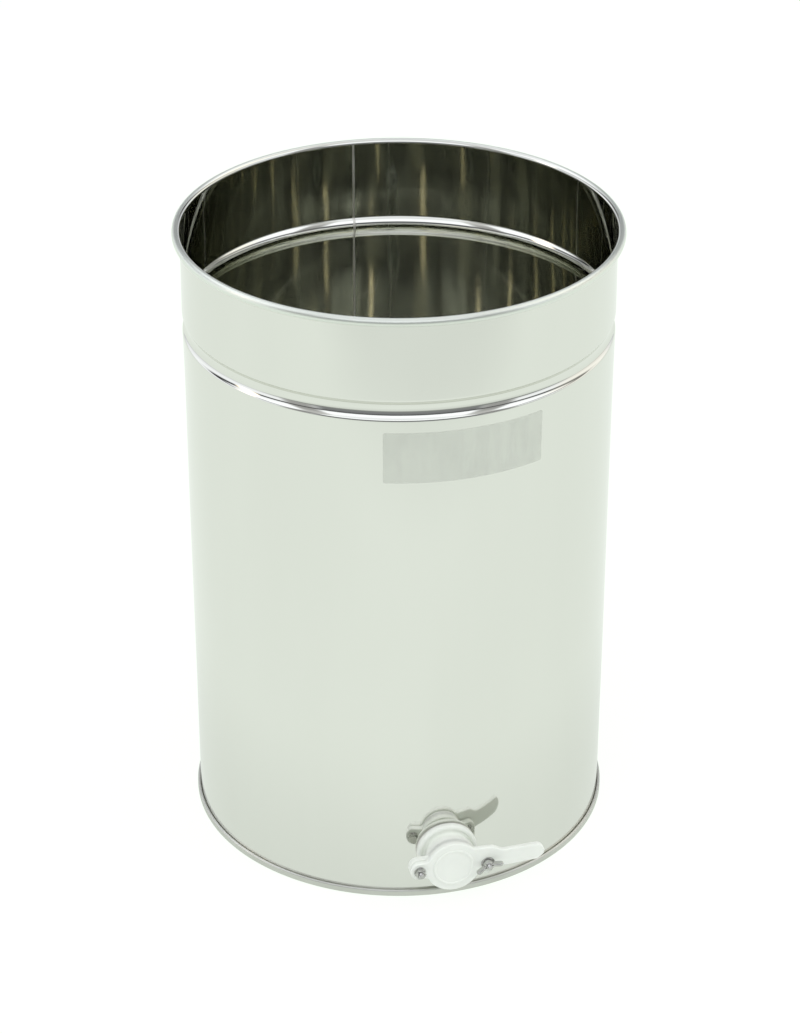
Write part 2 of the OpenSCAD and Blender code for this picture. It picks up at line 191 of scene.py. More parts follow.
def compass(columns: int) -> Array:
    """Works out even angles round a full turn, without the last one, which is the first again."""
    return np.linspace(0, FULL_TURN, columns, endpoint=False)


def around(radius: float | Array, angle: Array, height: float | Array) -> Array:
    """Turns radius, angle and height into points: (r cos a, r sin a, z).

    Args:
        radius: Distances from the z axis.
        angle: Angles about it.
        height: Heights.

    Returns:
        Points, in the shape that the three arrays make together.
    """
    return np.stack(np.broadcast_arrays(radius * np.cos(angle), radius * np.sin(angle), height), axis=-1)


def turned(profile: Array, columns: int) -> Array:
    """Carries a profile round the z axis: (r, z) becomes (r cos a, r sin a, z).

    Args:
        profile: Points of (radius, height).
        columns: Number of steps of a round the axis.

    Returns:
        Grid of points: profile along its rows, angle along its columns.
    """
    return around(profile[:, :1], compass(columns), profile[:, 1:])


def soft_section(inner: float, outer: float, low: float, high: float, edge: float) -> Array:
    """Works out a rectangle with rounded corners, as a closed profile of (radius, height) points.

    Args:
        inner: Least radius.
        outer: Largest radius.
        low: Least height.
        high: Largest height.
        edge: Radius of the corners.

    Returns:
        Points in anticlockwise order.
    """
    corners = [
        (outer, low, edge), (outer, high, edge), (inner, high, edge), (inner, low, edge),
    ]
    return rounded([corners[-1], *corners, corners[0]], steps=4)


def screw(radius: float, depth: float, pitch: float, low: float, high: float, columns: int) -> Array:
    """Works out a screw thread: the radius less depth times a triangle wave of height / pitch - turn.

    The wave comes up over one pitch at either end, so the thread starts and ends at its roots.

    Args:
        radius: Radius of the crests.
        depth: Depth of the roots.
        pitch: Rise in one turn.
        low: Height where the thread starts.
        high: Height where it ends.
        columns: Steps round the axis.

    Returns:
        Grid of points from low to high.
    """
    rows = max(2, round((high - low) / pitch * THREAD_ROWS))
    height = np.linspace(low, high, rows + 1)[:, None]
    angle = compass(columns)
    phase = height / pitch - angle / FULL_TURN
    wave = np.abs(2 * (phase - np.round(phase)))
    run_out = np.clip(np.minimum(height - low, high - height) / pitch, 0, 1)
    return around(radius - depth * (1 - run_out * (1 - wave)), angle, height)


def hex_rings(
    flats: float, height: float, columns: int, flat_share: float = 0.96, cone: float = 28.0
) -> Array:
    """Works out a hexagon block with coned corners: r = flats / 2 / cos(angle from the nearest flat).

    Args:
        flats: Distance across the flats.
        height: Height of the block.
        columns: Steps round the axis, a multiple of 12.
        flat_share: Share of the flats' radius where the cones start.
        cone: Slope of the cones, in degrees.

    Returns:
        Four rings of points: lower bevel, lower edge, upper edge and upper bevel.
    """
    angle = compass(columns)
    reach = flats / 2 / np.cos(angle % (np.pi / 3) - np.pi / 6)
    flat_r = np.full_like(reach, flats / 2 * flat_share)
    drop = (reach - flat_r) * math.tan(math.radians(cone))
    radii = np.stack([flat_r, reach, reach, flat_r])
    heights = np.stack([np.zeros_like(drop), drop, height - drop, np.full_like(drop, height)])
    return around(radii, angle, heights)


@dataclass
class Surface:
    """Faces gathered for one piece, in millimetres."""

    points: list[Array] = field(default_factory=list)
    faces: list[list[int]] = field(default_factory=list)
    count: int = 0

    def add_grid(
        self,
        grid: Array,
        wrap_rows: bool = False,
        wrap_columns: bool = False,
        keep: Array | None = None,
    ) -> None:
        """Adds a grid of points as one face for each of its cells.

        Args:
            grid: Points in rows and columns.
            wrap_rows: Joins the last row to the first.
            wrap_columns: Joins the last column to the first.
            keep: Which cells get a face; all of them if it is left out.
        """
        index = np.arange(grid.shape[0] * grid.shape[1]).reshape(grid.shape[:2]) + self.count
        if wrap_rows:
            index = np.concatenate([index, index[:1]], axis=0)
        if wrap_columns:
            index = np.concatenate([index, index[:, :1]], axis=1)
        cells = np.stack([index[:-1, :-1], index[:-1, 1:], index[1:, 1:], index[1:, :-1]], axis=-1)
        chosen = cells.reshape(-1, 4) if keep is None else cells[keep]
        self.points.append(grid.reshape(-1, 3))
        self.faces.extend(chosen.tolist())
        self.count += grid.shape[0] * grid.shape[1]

    def add_cap(self, rings: Sequence[Array]) -> None:
        """Fills a flat outline, less the holes in it, with triangles.

        Args:
            rings: The outline and then its holes, as closed rings of points.
        """
        triangles = tessellate_polygon([ring.tolist() for ring in rings])
        points = np.concatenate(rings)
        self.points.append(points)
        self.faces.extend([[corner + self.count for corner in triangle] for triangle in triangles])
        self.count += len(points)

    def add_plate(
        self,
        outline: Array,
        low: float,
        high: float,
        edge: float,
        holes: Sequence[Array] = (),
        steps: int = 4,
    ) -> None:
        """Adds a flat plate with rounded edges.

        At turn t of an edge the outline is drawn in by edge (1 - sin t) and has climbed edge (1 - cos t).
        One more ring, drawn in a little further, keeps the faces flat to their border.

        Args:
            outline: Closed anticlockwise outline.
            low: Height of the lower face.
            high: Height of the upper face.
            edge: Radius of the rounded edges.
            holes: Closed outlines of straight holes through the plate.
            steps: Steps on each rounded edge.
        """
        face_ring = 1.2 * edge
        turn = np.linspace(0, np.pi / 2, steps + 1)
        depth = np.concatenate([[face_ring], edge * (1 - np.sin(turn))])
        climb = np.concatenate([[0.0], edge * (1 - np.cos(turn))])
        depths = np.concatenate([depth, depth[::-1]])
        heights = np.concatenate([low + climb, high - climb[::-1]])
        rings = [at_height(inset(outline, drawn_in), height) for drawn_in, height in zip(depths, heights)]
        walls = [np.stack([at_height(hole, low), at_height(hole, high)]) for hole in holes]
        for side in [np.stack(rings), *walls]:
            self.add_grid(side, wrap_columns=True)
        self.add_cap([rings[0], *[wall[0] for wall in walls]])
        self.add_cap([rings[-1], *[wall[1] for wall in walls]])

    def add_turned(self, profile: Array, columns: int, closed: bool = True) -> None:
        """Adds a profile turned about z.

        Args:
            profile: Points of (radius, height), ending on the axis where it isn't closed.
            columns: Steps round the axis.
            closed: Joins the profile's last point to its first.
        """
        self.add_grid(turned(profile, columns), wrap_rows=closed, wrap_columns=True)

    def add_surface(self, other: "Surface", place: Move) -> None:
        """Adds another surface's faces, with its points moved by place.

        Args:
            other: The surface to add.
            place: Moves an array of points.
        """
        self.points.append(place(np.concatenate(other.points)))
        self.faces.extend([[corner + self.count for corner in face] for face in other.faces])
        self.count += other.count

    def moved(self, place: Move) -> "Surface":
        """Gives the same faces with the points moved by place."""
        return Surface([place(np.concatenate(self.points))], self.faces, self.count)

    def build(self, name: str, sharp: float = 35.0) -> bpy.types.Object:
        """Makes the piece's object: joins shared points, turns faces outwards and shades them smooth.

        Args:
            name: Name of the piece.
            sharp: Edges that turn by more than this stay sharp, in degrees.

        Returns:
            The object, at the origin and in metres.
        """
        mesh = bpy.data.meshes.new(name)
        mesh.from_pydata(np.concatenate(self.points) * MM, [], self.faces)
        work = bmesh.new()
        work.from_mesh(mesh)
        bmesh.ops.remove_doubles(work, verts=work.verts, dist=JOIN_DISTANCE)
        bmesh.ops.dissolve_degenerate(work, dist=SLIVER_WIDTH, edges=work.edges)
        bmesh.ops.recalc_face_normals(work, faces=work.faces)
        work.to_mesh(mesh)
        work.free()
        mesh.shade_smooth()
        mesh.set_sharp_from_angle(angle=math.radians(sharp))
        piece = bpy.data.objects.new(name, mesh)
        bpy.context.scene.collection.objects.link(piece)
        return piece


def feed(tree: bpy.types.NodeTree, target: Socket, source: Feed) -> None:
    """Feeds an input of a node: a socket is linked to it, and a number or a colour is set on it.

    Args:
        tree: Tree of the node.
        target: The input.
        source: What it gets.
    """
    if isinstance(source, Socket):
        tree.links.new(source, target)
    else:
        target.default_value = source


def add_node(
    tree: bpy.types.NodeTree, kind: str, inputs: dict[str | int, Feed], **settings: str
) -> bpy.types.Node:
    """Adds a node, makes its settings and feeds its inputs.

    Args:
        tree: Tree that gets the node.
        kind: Kind of node, as its type is named after ShaderNode.
        inputs: What each input gets, by its name or number.
        settings: Choices of the node, such as its operation.

    Returns:
        The node.
    """
    node = tree.nodes.new(f"ShaderNode{kind}")
    for choice, option in settings.items():
        setattr(node, choice, option)
    for socket, source in inputs.items():
        feed(tree, node.inputs[socket], source)
    return node


@dataclass
class NodeSheet:
    """Short hand for writing the nodes of one material."""

    name: str

    def __post_init__(self) -> None:
        """Makes the material and finds its shader."""
        self.material = bpy.data.materials.new(self.name)
        self.material.use_nodes = True
        self.tree = self.material.node_tree
        self.shader = self.tree.nodes["Principled BSDF"]

    def set(self, **values: float | Sequence[float]) -> None:
        """Sets constant values on the shader; Base_Color means its socket Base Color."""
        for socket, value in values.items():
            self.shader.inputs[socket.replace("_", " ")].default_value = value

    def drive(self, socket: str, source: Socket) -> None:
        """Links a socket of the shader to a pattern."""
        self.tree.links.new(source, self.shader.inputs[socket])

    def place(self, scale: Sequence[float]) -> Socket:
        """Reads Object coordinates, stretched along each axis.

        Args:
            scale: Cells to the metre along each axis.

        Returns:
            The stretched coordinates.
        """
        inputs = {"Vector": add_node(self.tree, "TexCoord", {}).outputs["Object"], "Scale": scale}
        return add_node(self.tree, "Mapping", inputs).outputs["Vector"]

    def reach(self, scale: Sequence[float]) -> Socket:
        """Works out the distance from the origin, in metres, with each axis stretched by a scale."""
        return add_node(self.tree, "VectorMath", {0: self.place(scale)}, operation="LENGTH").outputs["Value"]

    def beyond(self, near: float, far: float) -> Socket:
        """Tells what lies outside a radius about z, in metres: 0 up to near, and smoothly 1 from far on."""
        return self.remap(self.reach((1.0, 1.0, 0.0)), (near, far), (0.0, 1.0))

    def noise(self, scale: Sequence[float], detail: float = 3.0, rough: float = 0.5) -> Socket:
        """Writes soft noise on Object coordinates.

        Args:
            scale: Cells to the metre along each axis.
            detail: Number of finer layers.
            rough: Weight of each layer against the one before.

        Returns:
            The noise, from 0 to 1.
        """
        inputs = {"Vector": self.place(scale), "Scale": 1.0, "Detail": detail, "Roughness": rough}
        return add_node(self.tree, "TexNoise", inputs).outputs["Fac"]

    def contours(self, scale: Sequence[float], value: float, width: float = 0.006) -> Socket:
        """Draws thin wavy lines, like dried water marks: where soft noise lies close to its middle value.

        Args:
            scale: Cells to the metre along each axis.
            value: Value on the lines.
            width: How far the noise may be from its middle on a line.

        Returns:
            The lines, with 0 between them.
        """
        from_middle = self.combine("SUBTRACT", self.noise(scale, detail=4.0), 0.5)
        return self.remap(self.combine("ABSOLUTE", from_middle, 0.0), (0.0, width), (value, 0.0))

    def remap(self, source: Socket, span: Sequence[float], values: Sequence[float]) -> Socket:
        """Maps a pattern's span smoothly to a range of values.

        Args:
            source: The pattern.
            span: Where the span of the pattern starts and ends.
            values: Values there.

        Returns:
            The mapped pattern, held at the end values past the span.
        """
        limits = zip(("From Min", "From Max", "To Min", "To Max"), (*span, *values))
        inputs = {"Value": source, **dict(limits)}
        return add_node(self.tree, "MapRange", inputs, interpolation_type="SMOOTHSTEP").outputs["Result"]

    def combine(self, operation: str, first: Socket, second: Socket | float) -> Socket:
        """Joins two patterns, or a pattern and a number, by a named sum."""
        return add_node(self.tree, "Math", {0: first, 1: second}, operation=operation).outputs["Value"]

    def blend(self, share: Socket, first: Socket | Colour, second: Socket | Colour) -> Socket:
        """Blends two colours, or patterns of colour, by a pattern.

        Args:
            share: Share of the second colour.
            first: Colour where the share is 0.
            second: Colour where it is 1.

        Returns:
            The blended colour.
        """
        node = add_node(self.tree, "Mix", {"Factor": share}, data_type="RGBA")
        sockets = [socket for socket in node.inputs if socket.type == "RGBA"]
        for socket, colour in zip(sockets, (first, second)):
            feed(self.tree, socket, (*colour, 1.0) if isinstance(colour, tuple) else colour)
        return next(socket for socket in node.outputs if socket.type == "RGBA")

    def bump(self, height: Socket, distance: float, strength: float = 1.0) -> None:
        """Gives the shader a relief of a pattern.

        Args:
            height: The pattern.
            distance: Depth of the relief, in metres.
            strength: Share of it that shows.
        """
        inputs = {"Height": height, "Distance": distance, "Strength": strength}
        self.drive("Normal", add_node(self.tree, "Bump", inputs).outputs["Normal"])


@dataclass(frozen=True)
class SteelFinish:
    """Bright steel with rolling lines, handled patches, fine scuffs and a little colour drift.

    Past roll_r from the tank's axis it is satin, as on a rolled edge, with a paler, greener tint that is a
    painted reflection of the pale floor; within middle_r it is bright.
    """

    name: str
    tint: Colour
    dull_tint: Colour
    clean_rough: float
    handled_rough: float
    grain: tuple[float, float, float]
    grain_rough: float
    grain_depth: float
    patch: float
    patch_stretch: float = 2.5
    patch_span: tuple[float, float] = (0.45, 0.72)
    drift_stretch: float = 5.0
    wide_span: tuple[float, float] = (0.3, 0.7)
    brushed: float = 0.0
    marks: float = 0.0
    mark_cells: tuple[float, float, float] = (7.0, 7.0, 3.0)
    middle_r: float = 0.0
    middle_edge: float = 0.004
    middle_tint: Colour = (0.0, 0.0, 0.0)
    middle_rough: float = 0.05
    roll_r: float = 0.0
    roll_edge: float = 0.0006
    painted_reflection_roll_tint: Colour = (0.0, 0.0, 0.0)
    roll_rough: float = 0.0

    def material(self) -> bpy.types.Material:
        """Writes the finish as nodes.

        Returns:
            The material.
        """
        sheet = NodeSheet(self.name)
        sheet.set(Metallic=1.0, Anisotropic=self.brushed)
        if self.brushed:
            sheet.drive("Tangent", sheet.place((0.0, 0.0, 1.0)))
        grain = sheet.noise(self.grain, detail=2.0, rough=0.6)
        tall = (self.patch, self.patch, self.patch / self.patch_stretch)
        patches = sheet.noise(tall, detail=5.0, rough=0.6)
        handled = sheet.remap(patches, self.patch_span, (self.clean_rough, self.handled_rough))
        lines = sheet.remap(grain, self.wide_span, (-self.grain_rough, self.grain_rough))
        rough = sheet.combine("ADD", handled, lines)
        clouds = sheet.noise((self.patch, self.patch, self.patch / self.drift_stretch))
        drift = sheet.remap(clouds, self.wide_span, (0.0, 1.0))
        colour = sheet.blend(drift, self.tint, self.dull_tint)
        if self.marks:
            rough = sheet.combine("ADD", rough, sheet.contours(self.mark_cells, self.marks))
        if self.middle_r:
            outside = sheet.beyond(self.middle_r - self.middle_edge, self.middle_r)
            dull = sheet.combine("MULTIPLY", sheet.combine("SUBTRACT", rough, self.middle_rough), outside)
            rough = sheet.combine("ADD", dull, self.middle_rough)
            colour = sheet.blend(outside, self.middle_tint, colour)
        if self.roll_r:
            rolled = sheet.beyond(self.roll_r, self.roll_r + self.roll_edge)
            rough = sheet.combine("ADD", rough, sheet.combine("MULTIPLY", rolled, self.roll_rough))
            # Painted reflection: past roll_r the colour turns to a paler, greener tint, as the pale floor
            # would show in the rolled edge.
            colour = sheet.blend(rolled, colour, self.painted_reflection_roll_tint)
        sheet.drive("Roughness", rough)
        sheet.drive("Base Color", colour)
        sheet.bump(grain, self.grain_depth)
        return sheet.material


@dataclass(frozen=True)
class PlasticFinish:
    """White moulded plastic with a fine mould texture, cloudy colour and rubbed patches."""

    name: str
    tint: Colour
    cloud_tint: Colour
    rough: float
    rubbed_rough: float
    clouds: float = 60.0
    cloud_span: tuple[float, float] = (0.35, 0.7)
    rubs: tuple[float, float, float] = (140.0, 140.0, 60.0)
    rub_span: tuple[float, float] = (0.4, 0.75)
    texture: float = 2600.0
    texture_depth: float = 0.00003
    glow: float = 0.35
    glow_reach: float = 0.005
    ior: float = 1.5

    def material(self) -> bpy.types.Material:
        """Writes the finish as nodes.

        Returns:
            The material.
        """
        sheet = NodeSheet(self.name)
        sheet.set(Subsurface_Weight=self.glow, Subsurface_Radius=(self.glow_reach,) * 3, IOR=self.ior)
        cloud = sheet.remap(sheet.noise((self.clouds,) * 3, detail=4.0), self.cloud_span, (0.0, 1.0))
        sheet.drive("Base Color", sheet.blend(cloud, self.tint, self.cloud_tint))
        rubbed = sheet.noise(self.rubs, detail=5.0, rough=0.6)
        sheet.drive("Roughness", sheet.remap(rubbed, self.rub_span, (self.rough, self.rubbed_rough)))
        sheet.bump(sheet.noise((self.texture,) * 3, detail=2.0), self.texture_depth, strength=0.5)
        return sheet.material


@dataclass(frozen=True)
class MatteFinish:
    """Rubber or sealing compound: matte, mottled and finely grained."""

    name: str
    tint: Colour
    mottle_tint: Colour
    rough: float
    rough_spread: float = 0.1
    mottle: float = 180.0
    mottle_span: tuple[float, float] = (0.35, 0.7)
    grain: float = 1500.0
    grain_span: tuple[float, float] = (0.2, 0.8)
    grain_depth: float = 0.00005

    def material(self) -> bpy.types.Material:
        """Writes the finish as nodes.

        Returns:
            The material.
        """
        sheet = NodeSheet(self.name)
        mottle = sheet.remap(sheet.noise((self.mottle,) * 3, detail=5.0), self.mottle_span, (0.0, 1.0))
        sheet.drive("Base Color", sheet.blend(mottle, self.tint, self.mottle_tint))
        grain = sheet.noise((self.grain,) * 3)
        smooth, coarse = self.rough - self.rough_spread, self.rough + self.rough_spread
        sheet.drive("Roughness", sheet.remap(grain, self.grain_span, (smooth, coarse)))
        sheet.bump(grain, self.grain_depth, strength=0.6)
        return sheet.material


@dataclass(frozen=True)
class FilmFinish:
    """Clear adhesive film: mostly see-through, with a silvery bloom and faint ripples from laying it."""

    name: str
    tint: Colour
    bloom_tint: Colour
    thin_cover: float
    full_cover: float
    rough: float
    bloom: tuple[float, float, float] = (45.0, 45.0, 30.0)
    bloom_span: tuple[float, float] = (0.3, 0.75)
    cover: tuple[float, float, float] = (90.0, 90.0, 25.0)
    cover_span: tuple[float, float] = (0.25, 0.75)
    ripples: tuple[float, float, float] = (120.0, 120.0, 40.0)
    ripple_depth: float = 0.0001

    def material(self) -> bpy.types.Material:
        """Writes the finish as nodes.

        Returns:
            The material.
        """
        sheet = NodeSheet(self.name)
        sheet.set(Roughness=self.rough)
        bloom = sheet.remap(sheet.noise(self.bloom, detail=4.0), self.bloom_span, (0.0, 1.0))
        sheet.drive("Base Color", sheet.blend(bloom, self.tint, self.bloom_tint))
        cover = sheet.noise(self.cover, detail=5.0)
        sheet.drive("Alpha", sheet.remap(cover, self.cover_span, (self.thin_cover, self.full_cover)))
        sheet.bump(sheet.noise(self.ripples, detail=2.0), self.ripple_depth, strength=0.3)
        return sheet.material


SHEET_STEEL = SteelFinish(
    name="bright_sheet_steel",
    tint=(0.788, 0.794, 0.752),
    dull_tint=(0.768, 0.774, 0.732),
    clean_rough=0.04,
    handled_rough=0.065,
    grain=(14.0, 14.0, 1500.0),
    grain_rough=0.01,
    grain_depth=0.0000003,
    patch=9.0,
    brushed=0.6,
    marks=0.03,
    roll_r=0.1809,
    # Painted reflection of the pale floor on the rolled rim.
    painted_reflection_roll_tint=(0.80, 0.835, 0.775),
    roll_rough=0.30,
)
# The seam and chime get darker tints than the sheet: painted shade for the shadowed floor they mirror. Within
# middle_r the panel keeps the sheet's tint; the higher roughness is the pressed steel's own.
SEAM_STEEL_PAINTED_SHADE = SteelFinish(
    name="pressed_bottom_steel_painted_shade",
    tint=(0.657, 0.663, 0.623),
    dull_tint=(0.611, 0.617, 0.577),
    clean_rough=0.34,
    handled_rough=0.44,
    grain=(500.0, 25.0, 500.0),
    grain_rough=0.03,
    grain_depth=0.0000003,
    patch=14.0,
    middle_r=0.178,
    middle_tint=SHEET_STEEL.tint,
    middle_rough=0.06,
)
WELD_STEEL = SteelFinish(
    name="planished_weld",
    tint=(0.86, 0.85, 0.80),
    dull_tint=(0.78, 0.77, 0.72),
    clean_rough=0.42,
    handled_rough=0.55,
    grain=(300.0, 300.0, 700.0),
    grain_rough=0.06,
    grain_depth=0.00001,
    patch=60.0,
)
WIRE_STEEL = SteelFinish(
    name="drawn_wire",
    tint=(0.58, 0.58, 0.56),
    dull_tint=(0.50, 0.50, 0.48),
    clean_rough=0.28,
    handled_rough=0.42,
    grain=(40.0, 40.0, 1500.0),
    grain_rough=0.05,
    grain_depth=0.00001,
    patch=30.0,
)
BOLT_STEEL = SteelFinish(
    name="bright_fastener",
    tint=(0.58, 0.58, 0.56),
    dull_tint=(0.46, 0.46, 0.445),
    clean_rough=0.06,
    handled_rough=0.14,
    grain=(700.0, 700.0, 700.0),
    grain_rough=0.04,
    grain_depth=0.00001,
    patch=160.0,
)
GATE_PLASTIC = PlasticFinish(
    "white_gate_plastic", (0.85, 0.88, 0.82), (0.825, 0.855, 0.795), rough=0.30, rubbed_rough=0.42
)
WHITE_RUBBER = MatteFinish("white_gasket_rubber", (0.70, 0.70, 0.66), (0.63, 0.63, 0.59), rough=0.6)
DARK_RUBBER = MatteFinish("dark_seal_rubber", (0.045, 0.045, 0.045), (0.06, 0.06, 0.058), rough=0.55)
SEAM_COMPOUND = MatteFinish("seam_compound", (0.10, 0.10, 0.095), (0.13, 0.13, 0.12), rough=0.7)
LABEL_FILM = FilmFinish(
    "clear_label_film", (0.52, 0.55, 0.495), (0.56, 0.59, 0.53), thin_cover=0.085, full_cover=0.12, rough=0.30
)


def dress(node: str, material: bpy.types.Material) -> None:
    """Gives a carried-over construction node its finish.

    Args:
        node: Name of the node.
        material: Its finish.
    """
    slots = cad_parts[node].data.materials
    slots.clear()
    slots.append(material)
    LOG.info("dressed %s in %s", node, material.name)


def settle(
    piece: bpy.types.Object, material: bpy.types.Material, body: Body, slot: Slot, nodes: Sequence[str]
) -> None:
    """Finishes a new piece: its material, the body it rides on and the nodes it stands for.

    Args:
        piece: The piece's object.
        material: Its finish.
        body: Body that carries it.
        slot: Not used.
        nodes: Construction nodes that it replaces.
    """
    piece.data.materials.append(material)
    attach(piece, body.value)
    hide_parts(*nodes)
    LOG.info("made %s: %d faces on %s", piece.name, len(piece.data.polygons), body.value)


@dataclass
class TankDrum:
    """The rolled wall, its weld, wire, bottom and sealing compound."""

    radius: float = 180.0
    height: float = 548.0
    sheet: float = 0.8
    wire_d: float = 5.2
    wire_gap: float = 0.1
    curl_end: float = -130.0
    bead_drop: float = 81.5
    bead_height: float = 19.0
    bead_depth: float = 3.8
    bead_edge_r: float = 3.0
    seam_height: float = 6.0
    seam_gap: float = 0.15
    sealant: float = 1.0
    panel_lift: float = 6.2
    panel_bend: float = 3.0
    hole_r: float = 20.8
    hole_z: float = 46.0
    window_half: float = 28.0
    window_columns: int = 8
    window_rings: int = 6
    window_ease: float = 1.3
    panel_margin: float = 1.0
    foot_margin: float = 0.4
    skirt_margins: tuple[float, float] = (0.3, 0.1)
    columns: int = 320
    weld_width: float = 2.6
    weld_proud: float = 0.2
    weld_columns: int = 16
    weld_rows: tuple[int, int] = (700, 90)
    # Each one's share of the weld's crown or width, and its length.
    weld_ripple: tuple[float, float] = (0.25, 1.3)
    weld_drift: tuple[float, float] = (0.15, 7.0)
    weld_weave: tuple[float, float] = (0.05, 3.1)
    weld_pull: float = 9.0
    weld_sink: float = 0.15
    stiff_edge: float = 26.0
    bead_bulge: float = 0.35
    bulge_reach: float = 22.0
    # Each swell's waves round the tank, waves up it, lean in radians and size.
    swells: tuple[tuple[float, float, float, float], ...] = (
        (3, 0.9, 0.4, 0.14),
        (5, 1.7, 2.1, 0.11),
        (8, 1.9, 4.4, 0.08),
        (12, 2.3, 1.2, 0.03),
    )

    def __post_init__(self) -> None:
        """Works out the places that several sections share."""
        self.inner = self.radius - self.sheet
        self.curl_in = self.wire_d / 2 + self.wire_gap
        self.curl_out = self.curl_in + self.sheet
        self.curl_centre = (self.radius + self.curl_in, self.height - self.curl_out)
        self.bead_z = self.height - self.bead_drop
        self.hook_in = self.radius + 2 * self.seam_gap + self.sheet
        self.hook_out = self.hook_in + self.sheet
        self.fold = self.sheet + self.seam_gap
        self.window = (self.hole_z - self.window_half, self.hole_z + self.window_half)

    def bead_face(self, out: float) -> Array:
        """Works out the wall's upright face over the bead: two edge arcs and a root arc tangent to both.

        Args:
            out: Distance outwards from the wall's outer face.

        Returns:
            Points of (radius, height) from the lower to the upper edge.
        """
        half = self.bead_height / 2
        flank = 2 * math.degrees(math.atan(self.bead_depth / half))
        root_r = half / math.sin(math.radians(flank)) - self.bead_edge_r
        edge_axis = self.radius - self.bead_edge_r
        root_axis = edge_axis + (self.bead_edge_r + root_r) * math.cos(math.radians(flank))
        low, high = self.bead_z - half, self.bead_z + half
        return np.concatenate([
            arc((edge_axis, low), self.bead_edge_r + out, 0, flank, steps=10)[:-1],
            arc((root_axis, self.bead_z), root_r - out, 180 + flank, 180 - flank, steps=20)[:-1],
            arc((edge_axis, high), self.bead_edge_r + out, -flank, 0, steps=10),
        ])

    def upright(self, radius: float, low: float) -> Array:
        """Works out the straight wall from low to the bead and from the bead to the rim, at one face.

        Args:
            radius: Radius of that face.
            low: Height where it starts.

        Returns:
            Points of (radius, height), upwards.
        """
        bead = self.bead_face(radius - self.radius)
        margin = 1.0
        foot = straight((radius, low), (radius, self.window[0]), steps=3)[:-1]
        window = straight((radius, self.window[0]), (radius, self.window[1]), steps=16)[:-1]
        body = straight((radius, self.window[1]), (radius, bead[0, 1] - margin), steps=22)
        neck = straight((radius, bead[-1, 1] + margin), (radius, self.curl_centre[1] - margin), steps=6)
        return np.concatenate([foot, window, body, bead, neck])

    def waves(self, grid: Array) -> Array:
        """Adds the slight waves of rolled sheet: low sines of angle and height, and a dip along the weld.

        The waves fade out towards the rim, the bead, the foot and the gate. Beside the bead the wall bulges
        out, by a bell curve of the distance from it.

        Args:
            grid: Points of the wall.

        Returns:
            The points, moved outwards or inwards by up to about 0.4 mm.
        """
        angle = np.arctan2(grid[..., 1], grid[..., 0])
        height = grid[..., 2]
        swell = np.zeros_like(height)
        for turns, rise, lean, size in self.swells:
            upwards = np.cos(FULL_TURN * rise * height / self.height + 2 * lean)
            swell += size * np.sin(turns * angle + lean) * upwards
        from_weld = (angle - np.pi / 2) * self.radius / self.weld_pull
        swell -= self.weld_sink * np.exp(-(from_weld**2))
        from_bead = np.clip(np.abs(height - self.bead_z) - self.bead_height / 2, 0, None)
        clear = np.minimum.reduce([
            np.clip(height - self.window[1], 0, None),
            from_bead,
            np.clip(self.curl_centre[1] - height, 0, None),
        ])
        share = np.clip(clear / self.stiff_edge, 0, 1)
        swell *= share * share * (3 - 2 * share)
        swell += self.bead_bulge * np.exp(-((from_bead / self.bulge_reach) ** 2))
        return grid + swell[..., None] * around(1.0, angle, 0.0)

    def in_window(self, heights: Array) -> Array:
        """Tells which heights belong to the square window of the wall round the gate's hole."""
        return np.abs(heights - self.hole_z) < self.window_half + SLACK

    def window_edge(self, radius: float, rows: Array, angles: Array) -> Array:
        """Works out the window's edge, anticlockwise from its lower left: x is radius times cos of the angle.

        Args:
            radius: Radius of this face of the wall.
            rows: Heights of the window's rows.
            angles: Angles of the window's columns.

        Returns:
            Closed run of (x, z) points.
        """
        return border(np.stack(np.meshgrid(radius * np.cos(angles), rows), axis=-1))

    def window_patch(self, radius: float, rows: Array, angles: Array, hole: Array) -> Array:
        """Works out the wall round the gate's hole: lines from the round hole to the square window's edge.

        Args:
            radius: Radius of this face of the wall.
            rows: Heights of the window's rows.
            angles: Angles of the window's columns.
            hole: Points of (x, z) on the hole, one for each point of the edge.

        Returns:
            Grid of points, from the hole outwards.
        """
        edge = self.window_edge(radius, rows, angles)
        share = (np.linspace(0, 1, self.window_rings) ** self.window_ease)[:, None, None]
        flat = hole * (1 - share) + edge * share
        depth = -np.sqrt(radius**2 - flat[..., 0] ** 2)
        return np.stack([flat[..., 0], depth, flat[..., 1]], axis=-1)

